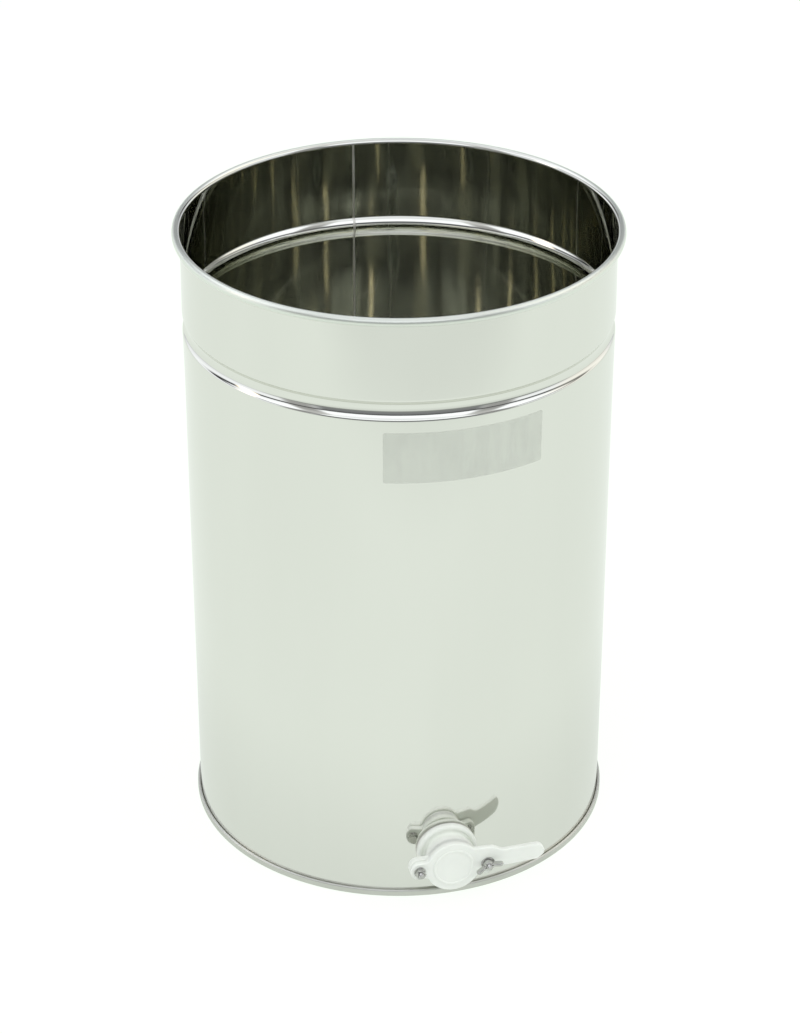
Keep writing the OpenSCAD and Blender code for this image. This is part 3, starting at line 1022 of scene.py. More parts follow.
    def wall(self) -> bpy.types.Object:
        """Builds the wall: its folded, beaded and curled section turned about z, with the gate's hole.

        Returns:
            The wall's object.
        """
        outer = self.upright(self.radius, self.fold + self.sheet)
        inner = self.upright(self.inner, self.fold)[::-1]
        hook_top = self.seam_height - self.sheet - self.seam_gap
        hook = np.array([
            (self.hook_out, self.fold), (self.hook_out, hook_top),
            (self.hook_in, hook_top), (self.hook_in, self.fold + self.sheet),
        ])
        section = np.concatenate([
            hook,
            outer,
            arc(self.curl_centre, self.curl_in, 180, self.curl_end, steps=44),
            arc(self.curl_centre, self.curl_out, self.curl_end, 180, steps=44),
            inner,
        ])
        grid = self.waves(turned(section, self.columns))
        middle = self.columns * 3 // 4
        inside = self.in_window(section[:, 1])
        row_in = inside & np.roll(inside, -1)
        column_in = np.zeros(self.columns, bool)
        column_in[middle - self.window_columns : middle + self.window_columns] = True
        surface = Surface()
        keep = ~(row_in[:, None] & column_in[None, :])
        surface.add_grid(grid, wrap_rows=True, wrap_columns=True, keep=keep)
        rows = outer[self.in_window(outer[:, 1]), 1]
        span = np.arange(middle - self.window_columns, middle + self.window_columns + 1)
        angles = span * FULL_TURN / self.columns
        edge = self.window_edge(self.radius, rows, angles) - (0.0, self.hole_z)
        hole = self.hole_r * edge / np.linalg.norm(edge, axis=1, keepdims=True) + (0.0, self.hole_z)
        patches = [self.window_patch(radius, rows, angles, hole) for radius in (self.radius, self.inner)]
        for patch in [*patches, np.stack([patches[0][0], patches[1][0]])]:
            surface.add_grid(patch, wrap_columns=True)
        return surface.build("drum_wall")

    def weld(self) -> bpy.types.Object:
        """Builds the upright weld: a flat lens carried up the wall, its crown rippled like laid beads.

        Ripple and drift of the crown and weave of the width are sines of the height.

        Returns:
            The weld's object.
        """
        low, high = self.seam_height + self.seam_gap, self.curl_centre[1]
        bead = self.bead_face(-self.sheet / 2)
        middle = self.radius - self.sheet / 2
        below, above = self.weld_rows
        path = np.concatenate([
            straight((middle, low), (middle, bead[0, 1]), below)[:-1],
            bead,
            straight((middle, bead[-1, 1]), (middle, high), above)[1:],
        ])
        ahead = np.gradient(path, axis=0)
        ahead /= np.linalg.norm(ahead, axis=1, keepdims=True)
        outwards = np.stack([ahead[:, 1], -ahead[:, 0]], axis=-1)
        along = path[:, 1:]
        ripple, ripple_length = self.weld_ripple
        drift, drift_length = self.weld_drift
        weave, weave_length = self.weld_weave
        crown = 1 + ripple * np.abs(np.sin(np.pi * along / ripple_length))
        crown = crown - drift * np.sin(along / drift_length)
        turn = compass(self.weld_columns)
        rise = np.sin(turn) * (self.sheet / 2 + self.weld_proud * crown)
        across = np.cos(turn) * self.weld_width / 2 * (1 + weave * np.sin(along / weave_length))
        radius = path[:, :1] + outwards[:, :1] * rise
        height = along + outwards[:, 1:] * rise
        grid = self.waves(np.stack([across, radius, height], axis=-1))
        surface = Surface()
        surface.add_grid(grid, wrap_columns=True)
        for end in (grid[0], grid[-1]):
            surface.add_cap([end])
        return surface.build("wall_weld")

    def bottom(self) -> bpy.types.Object:
        """Builds the bottom, turned about z: panel, turned-down edge and layers folded over the wall's foot.

        Returns:
            The bottom's object.
        """
        sheet = self.sheet
        chuck_out = self.inner - self.seam_gap
        chuck_in = chuck_out - sheet
        cover_in = self.radius + self.seam_gap
        cover_out = cover_in + sheet
        cover_end = self.fold + sheet + self.sealant + 2 * self.seam_gap
        seam_in = self.hook_out + self.seam_gap
        seam_out = seam_in + sheet
        crown_r = (seam_out - cover_in) / 2
        shoulder = self.seam_height - crown_r
        bend = (chuck_out - self.panel_bend, self.panel_lift + sheet - self.panel_bend)
        panel_r = bend[0] - self.panel_margin
        skirt_low, skirt_high = self.skirt_margins
        section = np.concatenate([
            straight((0, self.panel_lift), (panel_r, self.panel_lift), steps=12),
            arc(bend, self.panel_bend - sheet, 90, 0, steps=8),
            [(chuck_in, sheet)],
            arc((chuck_out, sheet), sheet, 180, 270, steps=6),
            straight((chuck_out + self.foot_margin, 0), (seam_in - self.foot_margin, 0), steps=2),
            arc((seam_in, sheet), sheet, -90, 0, steps=6),
            straight((seam_out, sheet + skirt_low), (seam_out, shoulder - skirt_high), steps=3),
            arc((cover_in + crown_r, shoulder), crown_r, 0, 180, steps=16),
            [
                (cover_in, cover_end), (cover_out, cover_end), (cover_out, shoulder),
                (seam_in, shoulder), (seam_in, sheet), (chuck_out, sheet),
            ],
            arc(bend, self.panel_bend, 0, 90, steps=8),
            straight((panel_r, self.panel_lift + sheet), (0, self.panel_lift + sheet), steps=12),
        ])
        surface = Surface()
        surface.add_turned(section, self.columns // 2, closed=False)
        return surface.build("drum_bottom")

    def make(self) -> None:
        """Builds and dresses the drum."""
        steel = SHEET_STEEL.material()
        settle(self.wall(), steel, Body.TANK, Slot.SHEET, ["tank_shell"])
        settle(self.bottom(), SEAM_STEEL_PAINTED_SHADE.material(), Body.TANK, Slot.SHEET, ["tank_bottom"])
        settle(self.weld(), WELD_STEEL.material(), Body.TANK, Slot.WELD, ["seam_weld"])
        dress("rim_wire", WIRE_STEEL.material())
        dress("seam_sealant", SEAM_COMPOUND.material())


@dataclass
class LabelPatch:
    """The bare adhesive film on the front of the wall."""

    drum: TankDrum
    width: float = 136.0
    height: float = 45.0
    middle_z: float = 425.0
    turn: float = 4.75
    gap: float = 0.05
    thickness: float = 0.15
    corner: float = 1.5
    columns: int = 96
    rows: int = 20
    corner_steps: int = 8

    def film(self) -> bpy.types.Object:
        """Builds the film: a thin sheet with rounded corners, laid on the wall's waved cylinder.

        Returns:
            The film's object.
        """
        half = self.height / 2
        ease = self.corner * (1 - np.cos(np.linspace(0, np.pi / 2, self.corner_steps)))
        between = np.linspace(-half + self.corner, half - self.corner, self.rows)[1:-1]
        rows = np.concatenate([-half + ease, between, half - ease[::-1]])
        into = np.clip(np.abs(rows) - (half - self.corner), 0, self.corner)
        reach = self.width / 2 - self.corner + np.sqrt(self.corner**2 - into**2)
        along = np.linspace(-1, 1, self.columns + 1) * reach[:, None]
        angle = np.radians(self.turn - 90) + along / self.drum.radius
        height = rows[:, None] + self.middle_z
        inner = self.drum.radius + self.gap
        faces = [
            self.drum.waves(around(radius, angle, height)) for radius in (inner, inner + self.thickness)
        ]
        surface = Surface()
        for face in faces:
            surface.add_grid(face)
        surface.add_grid(np.stack([border(face) for face in faces]), wrap_columns=True)
        return surface.build("bare_label_film")

    def make(self) -> None:
        """Builds and dresses the film."""
        settle(self.film(), LABEL_FILM.material(), Body.TANK, Slot.FILM, ["label_film"])


@dataclass
class GateFrame:
    """Sizes that the gate's pieces share, along the gate's axis and outwards from the wall."""

    drum: TankDrum
    bolt_x: float = 29.5
    seat: float = 23.6
    blade_gap: float = 0.3
    blade_t: float = 5.0
    ear_r: float = 8.0
    ear_t: float = 6.0
    ear_step: float = 0.3
    ear_fillet: float = 4.0
    washer_t: float = 1.0
    nut_gap: float = 0.2

    def __post_init__(self) -> None:
        """Works out the gate's axis, the blade's back and the faces that the fasteners lie on."""
        self.wall_r = self.drum.radius
        self.axis_z = self.drum.hole_z
        self.blade_back = self.seat + self.blade_gap
        self.ear_back = self.seat - self.ear_step - self.ear_t
        self.head_face = self.ear_back - self.washer_t
        self.washer_face = self.blade_back + self.blade_t + self.nut_gap
        self.nut_seat = self.washer_face + self.washer_t

    def place(self, x: float = 0.0, out: float = 0.0) -> Move:
        """Gives the move from a piece's own axes, with z outwards, to the tank's frame.

        Args:
            x: Shift along +X.
            out: Shift outwards from the wall.

        Returns:
            A function that moves an array of points.
        """
        def move(points: Array) -> Array:
            """Turns z to -Y and y to Z, and shifts to the gate's axis."""
            across, up, outwards = np.moveaxis(points, -1, 0)
            return np.stack([across + x, -(self.wall_r + out + outwards), self.axis_z + up], axis=-1)
        return move

    def fillet(self, disc_r: float, edge_y: float, steps: int = 8) -> Array:
        """Works out the fillet from a disc to a level edge on its right: an arc tangent to both.

        Args:
            disc_r: Radius of the disc.
            edge_y: Height of the edge.
            steps: Steps on the arc.

        Returns:
            Points from the edge to the disc.
        """
        centre_y = edge_y + self.ear_fillet
        centre_x = math.sqrt((disc_r + self.ear_fillet) ** 2 - centre_y**2)
        towards = math.degrees(math.atan2(-centre_y, -centre_x))
        return arc((centre_x, centre_y), self.ear_fillet, -90, towards, steps)

    def left_ear(self, disc_r: float) -> Array:
        """Works out the outline of the pivot's ear, from the disc's top left to its bottom left.

        Args:
            disc_r: Radius of the disc that carries the ear.

        Returns:
            Points in anticlockwise order.
        """
        top = self.fillet(disc_r, self.ear_r)[::-1] * (-1, 1)
        return np.concatenate([
            top,
            arc((-self.bolt_x, 0), self.ear_r, 90, 270, steps=24),
            top[::-1] * (1, -1),
        ])

    def disc_arc(self, disc_r: float, start: Array, end: Array, steps: int) -> Array:
        """Works out the disc's rim between two points on it, anticlockwise.

        Args:
            disc_r: Radius of the disc.
            start: First point.
            end: Last point.
            steps: Steps between them.

        Returns:
            Points, without the two points themselves.
        """
        first = math.degrees(math.atan2(start[1], start[0]))
        last = math.degrees(math.atan2(end[1], end[0]))
        return arc((0, 0), disc_r, first, first + (last - first) % 360, steps)[1:-1]


@dataclass
class GateMoulding:
    """The moulded gate body, its gaskets, lock nut and seat ring."""

    gate: GateFrame
    bore_r: float = 16.0
    spigot_r: float = 20.5
    pitch: float = 2.3
    thread_depth: float = 1.2
    collar_r: float = 26.25
    collar_t: float = 5.0
    collar_round: float = 2.5
    collar_dip: float = 0.8
    dip_slope: float = 0.7
    dip_lip: float = 0.05
    neck_r: float = 19.0
    neck_fillet: float = 1.2
    flange_r: float = 22.0
    flange_t: float = 10.7
    flange_round: float = 1.2
    back_round: float = 0.6
    soft_edge: float = 0.5
    fine_edge: float = 0.2
    ear_drop: float = 6.8
    edge: float = 0.9
    hole_r: float = 2.6
    core_inset: float = 1.5
    pad_r: float = 25.0
    outer_pad: float = 1.5
    inner_pad: float = 1.0
    pad_bulge: float = 1.0
    pad_gap: float = 0.05
    pad_rows: int = 7
    nut_flats: float = 50.0
    nut_turns: int = 4
    nut_columns: int = 96
    spare_turns: int = 2
    thread_gap: float = 0.15
    seal_d: float = 2.0
    seal_proud: float = 0.1
    seal_gap: float = 0.05
    seal_lip: float = 0.35
    columns: int = 128

    def __post_init__(self) -> None:
        """Works out where the lock nut and the spigot end, and the middle of the seat's ring."""
        drum = self.gate.drum
        drop = drum.inner - math.sqrt(drum.inner**2 - self.pad_r**2)
        self.nut_face = -(drum.sheet + drop + self.inner_pad)
        self.nut_t = self.nut_turns * self.pitch
        self.spigot_end = self.nut_face - (self.nut_turns + self.spare_turns) * self.pitch
        self.seal_r = (self.bore_r + self.flange_r) / 2

    def turned_body(self) -> Array:
        """Works out the section of collar, neck and seat flange round the bore, from the thread outwards.

        Returns:
            Points of (radius, height).
        """
        fine, soft, lip = self.fine_edge, self.soft_edge, self.seal_lip
        seat = self.gate.seat
        root = self.spigot_r - self.thread_depth
        face = self.outer_pad + self.collar_t
        floor = face - self.collar_dip
        dip_r = (self.collar_r - self.collar_round + self.neck_r + self.neck_fillet) / 2
        back = seat - self.flange_t
        half = self.seal_d / 2 + self.seal_gap
        groove = seat - self.seal_d + self.seal_proud - self.seal_gap
        return rounded([
            (root, self.nut_face, 0.0),
            (self.spigot_r, self.nut_face, fine), (self.spigot_r, self.outer_pad, fine),
            (self.collar_r, self.outer_pad, soft), (self.collar_r, face, self.collar_round),
            (dip_r + self.dip_slope, face - self.dip_lip, soft), (dip_r, floor, soft),
            (self.neck_r, floor, self.neck_fillet), (self.neck_r, back, self.back_round),
            (self.flange_r, back, self.flange_round), (self.flange_r, seat, soft),
            (self.seal_r + half, seat, lip), (self.seal_r + half, groove, fine),
            (self.seal_r - half, groove, fine), (self.seal_r - half, seat, lip),
            (self.bore_r, seat, soft), (self.bore_r, self.spigot_end, soft),
            (root, self.spigot_end, fine), (root, self.nut_face, 0.0),
        ], steps=5)

    def ear_outline(self) -> Array:
        """Works out the outline of the seat flange with its two ears, the right one reaching down.

        Returns:
            Closed anticlockwise outline.
        """
        gate = self.gate
        low_y = -gate.ear_r - self.ear_drop
        top = gate.fillet(self.flange_r, gate.ear_r)
        foot = (gate.fillet(self.flange_r, -low_y) * (1, -1))[::-1]
        left = gate.left_ear(self.flange_r)
        return np.concatenate([
            gate.disc_arc(self.flange_r, top[-1], left[0], steps=24),
            left,
            gate.disc_arc(self.flange_r, left[-1], foot[0], steps=16),
            foot,
            arc((gate.bolt_x, -self.ear_drop), gate.ear_r, -90, 0, steps=12),
            arc((gate.bolt_x, 0), gate.ear_r, 0, 90, steps=12),
            top,
        ])

    def body(self) -> bpy.types.Object:
        """Builds the body: a section turned about the bore, a screw thread and the plate of the ears.

        Returns:
            The body's object.
        """
        gate = self.gate
        section = self.turned_body()
        thread = screw(
            self.spigot_r, self.thread_depth, self.pitch, section[-1, 1], section[0, 1], self.columns
        )
        thread[0] = turned(section[-1:], self.columns)[0]
        thread[-1] = turned(section[:1], self.columns)[0]
        surface = Surface()
        for grid in (turned(section, self.columns), thread):
            surface.add_grid(grid, wrap_columns=True)
        holes = [circle((x, 0), self.hole_r, steps=32) for x in (-gate.bolt_x, gate.bolt_x)]
        core = circle((0, 0), self.flange_r - self.core_inset, steps=64)
        ear_face = gate.ear_back + gate.ear_t
        surface.add_plate(self.ear_outline(), gate.ear_back, ear_face, self.edge, [*holes, core])
        return surface.moved(gate.place()).build("gate_body_moulding")

    def gasket(self, side: Side) -> bpy.types.Object:
        """Builds a gasket: a ring with a bulged rim whose wall side follows the drum, at sqrt(r2 - x2).

        Args:
            side: Side of the wall that it lies on.

        Returns:
            The gasket's object.
        """
        drum = self.gate.drum
        outside = side is Side.OUTER
        wall = drum.radius + self.pad_gap if outside else drum.inner - self.pad_gap
        flat = self.outer_pad if outside else self.nut_face
        angle = compass(self.columns)
        rim = self.pad_r + self.pad_bulge * np.sin(np.linspace(0, np.pi, self.pad_rows))
        radius = np.concatenate([rim, np.full(2, drum.hole_r)])[:, None]
        share = np.concatenate([np.linspace(0, 1, self.pad_rows), [1.0, 0.0]])[:, None]
        on_wall = np.sqrt(wall**2 - (radius * np.cos(angle)) ** 2) - drum.radius
        grid = around(radius, angle, on_wall * (1 - share) + flat * share)
        surface = Surface()
        surface.add_grid(grid, wrap_rows=True, wrap_columns=True)
        return surface.moved(self.gate.place()).build(f"{side.value}_gasket_ring")

    def lock_nut(self) -> bpy.types.Object:
        """Builds the lock nut: a hexagon with bevelled corners round a screw thread.

        Returns:
            The nut's object.
        """
        root = self.spigot_r + self.thread_gap
        crest = root - self.thread_depth
        thread = screw(root, self.thread_depth, self.pitch, 0.0, self.nut_t, self.nut_columns)
        mouths = turned(np.array([(crest, 0.0), (crest, self.nut_t)]), self.nut_columns)
        thread[0], thread[-1] = mouths
        block = hex_rings(self.nut_flats, self.nut_t, self.nut_columns)
        surface = Surface()
        for grid in (np.concatenate([mouths[:1], block, mouths[1:]]), thread):
            surface.add_grid(grid, wrap_columns=True)
        place = self.gate.place(out=self.nut_face - self.nut_t)
        return surface.moved(place).build("spigot_lock_nut", sharp=CRISP_EDGE)

    def seat_ring(self) -> bpy.types.Object:
        """Builds the seat's rubber ring: a circle turned about the bore.

        Returns:
            The ring's object.
        """
        height = self.gate.seat + self.seal_proud - self.seal_d / 2
        surface = Surface()
        surface.add_turned(circle((self.seal_r, height), self.seal_d / 2, steps=16), self.columns)
        return surface.moved(self.gate.place()).build("seat_ring")

    def make(self) -> None:
        """Builds and dresses the body and its rubber."""
        plastic = GATE_PLASTIC.material()
        rubber = WHITE_RUBBER.material()
        settle(self.body(), plastic, Body.TANK, Slot.PLASTIC, ["gate_body"])
        settle(self.lock_nut(), plastic, Body.TANK, Slot.PLASTIC, ["lock_nut"])
        settle(self.gasket(Side.OUTER), rubber, Body.TANK, Slot.RUBBER, ["outer_gasket"])
        settle(self.gasket(Side.INNER), rubber, Body.TANK, Slot.RUBBER, ["inner_gasket"])
        settle(self.seat_ring(), DARK_RUBBER.material(), Body.TANK, Slot.RUBBER, ["seat_seal"])


@dataclass
class GateBlade:
    """The swinging blade: disc, pivot ear and lever in one plate."""

    gate: GateFrame
    disc_r: float = 23.5
    lever_reach: float = 80.0
    lever_h: float = 16.0
    notch_r: float = 3.0
    prong_gap: float = 4.0
    prong_over: float = 1.0
    lip_gap: float = 5.4
    lip_round: float = 0.8
    ring_r: float = 17.8
    ring_w: float = 2.6
    ring_h: float = 0.8
    ring_ease: float = 0.8
    ring_sink: float = 0.02
    ring_root: float = 0.4
    ring_steps: int = 24
    ring_columns: int = 128
    edge: float = 1.2
    hole_r: float = 2.56
    root_share: float = 0.98
    # Corners of the lever: share of its length past the bolt, share of its height, and radius as a share too.
    lever_shares: tuple[tuple[float, float, float], ...] = (
        (0.25, -0.34, 0.25),
        (0.88, -0.18, 0.36),
        (1.00, 0.20, 0.32),
        (0.93, 0.79, 0.42),
        (0.25, 0.68, 0.70),
        (0.10, 0.98, 0.50),
    )

    def outline(self) -> Array:
        """Works out the outline: disc, pivot ear, notch for the clamp bolt and the lever's rounded corners.

        Returns:
            Closed anticlockwise outline.
        """
        gate = self.gate
        bolt = gate.bolt_x
        length = self.lever_reach - bolt
        top = gate.fillet(self.disc_r, self.lever_h * self.root_share)
        left = gate.left_ear(self.disc_r)
        prong_y = -gate.ear_r
        prong = np.array([math.sqrt(self.disc_r**2 - prong_y**2), prong_y])
        slope = self.prong_gap / (gate.ear_r + self.prong_over)
        prong_tip = np.array([bolt - self.notch_r + slope * prong_y, prong_y])
        lip_y = self.lever_h * self.lever_shares[0][1]
        lip = np.array([bolt + self.notch_r - self.lip_gap * lip_y / gate.ear_r, lip_y])
        lever = [(bolt + length * x, self.lever_h * y, self.lever_h * r) for x, y, r in self.lever_shares]
        return np.concatenate([
            gate.disc_arc(self.disc_r, top[-1], left[0], steps=32),
            left,
            gate.disc_arc(self.disc_r, left[-1], prong, steps=48),
            [prong, prong_tip],
            arc((bolt, 0), self.notch_r, 180, 0, steps=14),
            rounded([(bolt + self.notch_r, 0, 0), (*lip, self.lip_round), (*lever[0][:2], 0)], steps=4),
            rounded([(*lip, 0), *lever, (*top[0], 0)], steps=10),
            top,
        ])

    def blade(self) -> bpy.types.Object:
        """Builds the blade: the outline as a plate with rounded edges, and the raised ring turned about z.

        Returns:
            The blade's object.
        """
        gate = self.gate
        surface = Surface()
        hole = circle((-gate.bolt_x, 0), self.hole_r, steps=32)
        surface.add_plate(self.outline(), 0.0, gate.blade_t, self.edge, [hole], steps=6)
        crest = np.linspace(0, np.pi, self.ring_steps + 1)
        crown = np.stack([
            self.ring_r - self.ring_w * (1 - np.cos(crest)) / 2,
            gate.blade_t + self.ring_h * np.sin(crest) ** self.ring_ease - self.ring_sink,
        ], axis=-1)
        root = gate.blade_t - self.ring_root
        ring = np.concatenate([crown, [(self.ring_r - self.ring_w, root), (self.ring_r, root)]])
        surface.add_turned(ring, self.ring_columns)
        return surface.moved(gate.place(out=gate.blade_back)).build("gate_blade_moulding")

    def make(self) -> None:
        """Builds and dresses the blade."""
        settle(self.blade(), GATE_PLASTIC.material(), Body.BLADE, Slot.PLASTIC, ["gate_blade"])


@dataclass
class GateHardware:
    """Bolts, nuts and washers of the gate."""

    gate: GateFrame
    bolt_r: float = 2.5
    pitch: float = 0.8
    thread_depth: float = 0.45
    flats: float = 8.0
    head_h: float = 3.5
    nut_h: float = 4.0
    washer_r: float = 5.0
    clamp_washer_r: float = 6.0
    washer_hole_r: float = 2.6
    washer_edge: float = 0.15
    pivot_tip: float = 2.8
    nut_sink: float = 0.35
    seat_gap: float = 0.05
    wing_turns: int = 3
    wing_span: float = 24.0
    wing_h: float = 8.6
    wing_t: float = 2.8
    wing_edge: float = 0.75
    wing_turn: float = 18.0
    wing_hole_gap: float = 0.06
    hub_h: float = 4.6
    hub_r: float = 4.6
    hub_top_share: float = 0.82
    hub_rounds: tuple[float, float, float, float] = (0.4, 0.9, 0.3, 0.2)
    tip_share: float = 0.28
    root_share: float = 0.5
    columns: int = 48

    def bolt(self, name: str, x: float, end: float) -> bpy.types.Object:
        """Builds a bolt: coned hexagon head, plain shank and a screw thread that tapers at the tip.

        Args:
            name: Name of the piece.
            x: Place along +X.
            end: Distance of the tip from the wall.

        Returns:
            The bolt's object.
        """
        gate = self.gate
        back = gate.head_face - self.head_h
        head = hex_rings(self.flats, self.head_h, self.columns) + (0, 0, back)
        start, run_out = gate.blade_back, end - self.pitch / 2
        shank = turned(np.array([(self.bolt_r, gate.head_face), (self.bolt_r, start)]), self.columns)
        thread = screw(self.bolt_r, self.thread_depth, self.pitch, start, run_out, self.columns)
        thread[0] = shank[1]
        nose = turned(np.array([(self.bolt_r - self.pitch, end), (0.0, end)]), self.columns)
        axis = np.broadcast_to((0.0, 0.0, back), head[:1].shape)
        surface = Surface()
        surface.add_grid(np.concatenate([axis, head, shank, thread[1:], nose]), wrap_columns=True)
        return surface.moved(gate.place(x)).build(name, sharp=CRISP_EDGE)

    def washer(self, name: str, x: float, face: float, outer: float) -> bpy.types.Object:
        """Builds a washer: a rounded rectangle turned about the bolt.

        Args:
            name: Name of the piece.
            x: Place along +X.
            face: Distance of its inner face from the wall.
            outer: Outer radius.

        Returns:
            The washer's object.
        """
        section = soft_section(self.washer_hole_r, outer, 0.0, self.gate.washer_t, self.washer_edge)
        surface = Surface()
        surface.add_turned(section, self.columns)
        return surface.moved(self.gate.place(x, face)).build(name)

    def pivot_nut(self) -> bpy.types.Object:
        """Builds the pivot nut: a coned hexagon round a countersunk hole.

        Returns:
            The nut's object.
        """
        gate = self.gate
        sink = self.nut_sink
        hole = self.bolt_r + self.seat_gap
        bore = np.array([
            (hole + sink, self.nut_h), (hole, self.nut_h - sink), (hole, sink), (hole + sink, 0.0),
        ])
        block = hex_rings(self.flats, self.nut_h, self.columns)
        grid = np.concatenate([block, turned(bore, self.columns)])
        surface = Surface()
        surface.add_grid(grid, wrap_rows=True, wrap_columns=True)
        return surface.moved(gate.place(-gate.bolt_x, gate.nut_seat)).build("pivot_hex_nut", sharp=CRISP_EDGE)

    def wing_outline(self) -> Array:
        """Works out one wing's outline: two circles, at the hub and at the tip, and their common tangents.

        Returns:
            Closed anticlockwise outline, radius along x and height along y.
        """
        tip_r = self.wing_h * self.tip_share
        root_r = self.hub_h * self.root_share
        root = np.array([self.hub_r * self.root_share, root_r])
        tip = np.array([self.wing_span / 2 - tip_r, self.wing_h - tip_r])
        along = tip - root
        lean = math.degrees(math.acos((root_r - tip_r) / np.linalg.norm(along)))
        turn = math.degrees(math.atan2(along[1], along[0]))
        return np.concatenate([
            arc(tip, tip_r, turn - lean, turn + lean, steps=16),
            arc(root, root_r, turn + lean, turn + 360 - lean, steps=16),
        ])

    def wing_nut(self) -> bpy.types.Object:
        """Builds the wing nut: a rounded tapered hub turned about the bolt and two wings with rounded edges.

        Returns:
            The nut's object.
        """
        gate = self.gate
        hole = self.bolt_r + self.wing_hole_gap
        top_r = self.hub_r * self.hub_top_share
        foot, top, mouth, inner = self.hub_rounds
        section = rounded([
            (hole, 0, 0), (self.hub_r, 0, foot), (top_r, self.hub_h, top),
            (hole, self.hub_h, mouth), (hole, 0, inner), (self.hub_r, 0, 0),
        ], steps=6)
        surface = Surface()
        surface.add_turned(section, self.columns)
        wing = Surface()
        wing.add_plate(self.wing_outline(), -self.wing_t / 2, self.wing_t / 2, self.wing_edge, steps=5)
        for turn in (self.wing_turn, self.wing_turn + 180):
            cos, sin = math.cos(math.radians(turn)), math.sin(math.radians(turn))
            wing_axes = np.array([(cos, sin, 0.0), (0.0, 0.0, 1.0), (sin, -cos, 0.0)])
            surface.add_surface(wing, lambda points, axes=wing_axes: points @ axes)
        place = gate.place(gate.bolt_x, gate.nut_seat + self.seat_gap)
        return surface.moved(place).build("clamp_wing_nut")

    def make(self) -> None:
        """Builds and dresses the fasteners."""
        gate = self.gate
        steel = BOLT_STEEL.material()
        left, right = -gate.bolt_x, gate.bolt_x
        low, high = gate.head_face, gate.washer_face
        pivot_end = gate.nut_seat + self.nut_h + self.pivot_tip
        clamp_end = gate.nut_seat + self.seat_gap + self.hub_h + (self.wing_turns + 1) * self.pitch
        pieces = [
            ("pivot_bolt", Body.TANK, self.bolt("pivot_hex_bolt", left, pivot_end)),
            ("clamp_bolt", Body.TANK, self.bolt("clamp_hex_bolt", right, clamp_end)),
            ("pivot_head_washer", Body.TANK, self.washer("pivot_head_ring", left, low, self.washer_r)),
            ("pivot_washer", Body.TANK, self.washer("pivot_nut_ring", left, high, self.washer_r)),
            ("clamp_head_washer", Body.TANK, self.washer("clamp_head_ring", right, low, self.washer_r)),
            (
                "clamp_washer",
                Body.CLAMP_WASHER,
                self.washer("wing_nut_ring", right, high, self.clamp_washer_r),
            ),
            ("pivot_nut", Body.TANK, self.pivot_nut()),
            ("wing_nut", Body.WING_NUT, self.wing_nut()),
        ]
        for node, body, piece in pieces:
            settle(piece, steel, body, Slot.FASTENER, [node])


@dataclass(frozen=True)
class SoftBox:
    """One soft lamp: where it hangs, what it points at, its size and its power."""

    name: str
    place: tuple[float, float, float]
    aim: tuple[float, float, float]
    size: tuple[float, float]
    power: float

    def make(self) -> None:
        """Hangs the lamp."""
        light = bpy.data.lights.new(self.name, "AREA")
        light.shape = "RECTANGLE"
        light.size, light.size_y = self.size
        light.energy = self.power
        lamp = bpy.data.objects.new(self.name, light)
        bpy.context.scene.collection.objects.link(lamp)
        away = np.subtract(self.place, self.aim)
        lamp.location = self.place
        lamp.rotation_euler = (
            math.atan2(math.hypot(away[0], away[1]), away[2]), 0.0, math.atan2(away[1], away[0]) + math.pi / 2
        )
        lamp.visible_camera = False
        lamp.visible_glossy = False


def faded(
    tree: bpy.types.NodeTree,
    towards: Socket,
    middle: Sequence[float],
    core: float,
    edge: float,
    level: float = 1.0,
) -> Socket:
    """Writes a soft patch by direction: full within its core, gone past its edge and smooth between.

    Args:
        tree: Nodes of the world.
        towards: Direction that is looked at, of length 1.
        middle: Direction of the patch's middle, of length 1.
        core: Angle from the middle that the core reaches to, in degrees.
        edge: Angle that the edge reaches to, in degrees.
        level: Value within the core.

    Returns:
        The value.
    """
    near = add_node(tree, "VectorMath", {0: towards, 1: middle}, operation="DOT_PRODUCT")
    inputs = {
        "Value": near.outputs["Value"],
        "From Min": math.cos(math.radians(edge)),
        "From Max": math.cos(math.radians(core)),
        "To Max": level,
    }
    return add_node(tree, "MapRange", inputs, interpolation_type="SMOOTHSTEP").outputs["Result"]


@dataclass(frozen=True)
class SoftGlow:
    """One soft patch of light in the surroundings: full within its core and gone past its edge."""

    turn: float
    rise: float
    core: float
    edge: float
    level: float
    tint: Colour

    def shader(self, tree: bpy.types.NodeTree, towards: Socket) -> Socket:
        """Writes the patch as nodes: its level, faded smoothly with the angle from its middle.

        Args:
            tree: Nodes of the world.
            towards: Direction that is looked at.

        Returns:
            The patch's background.
        """
        turn, rise = math.radians(self.turn), math.radians(self.rise)
        middle = (math.cos(rise) * math.cos(turn), math.cos(rise) * math.sin(turn), math.sin(rise))
        strength = faded(tree, towards, middle, self.core, self.edge, self.level)
        inputs = {"Color": (*self.tint, 1.0), "Strength": strength}
        return add_node(tree, "Background", inputs).outputs["Background"]


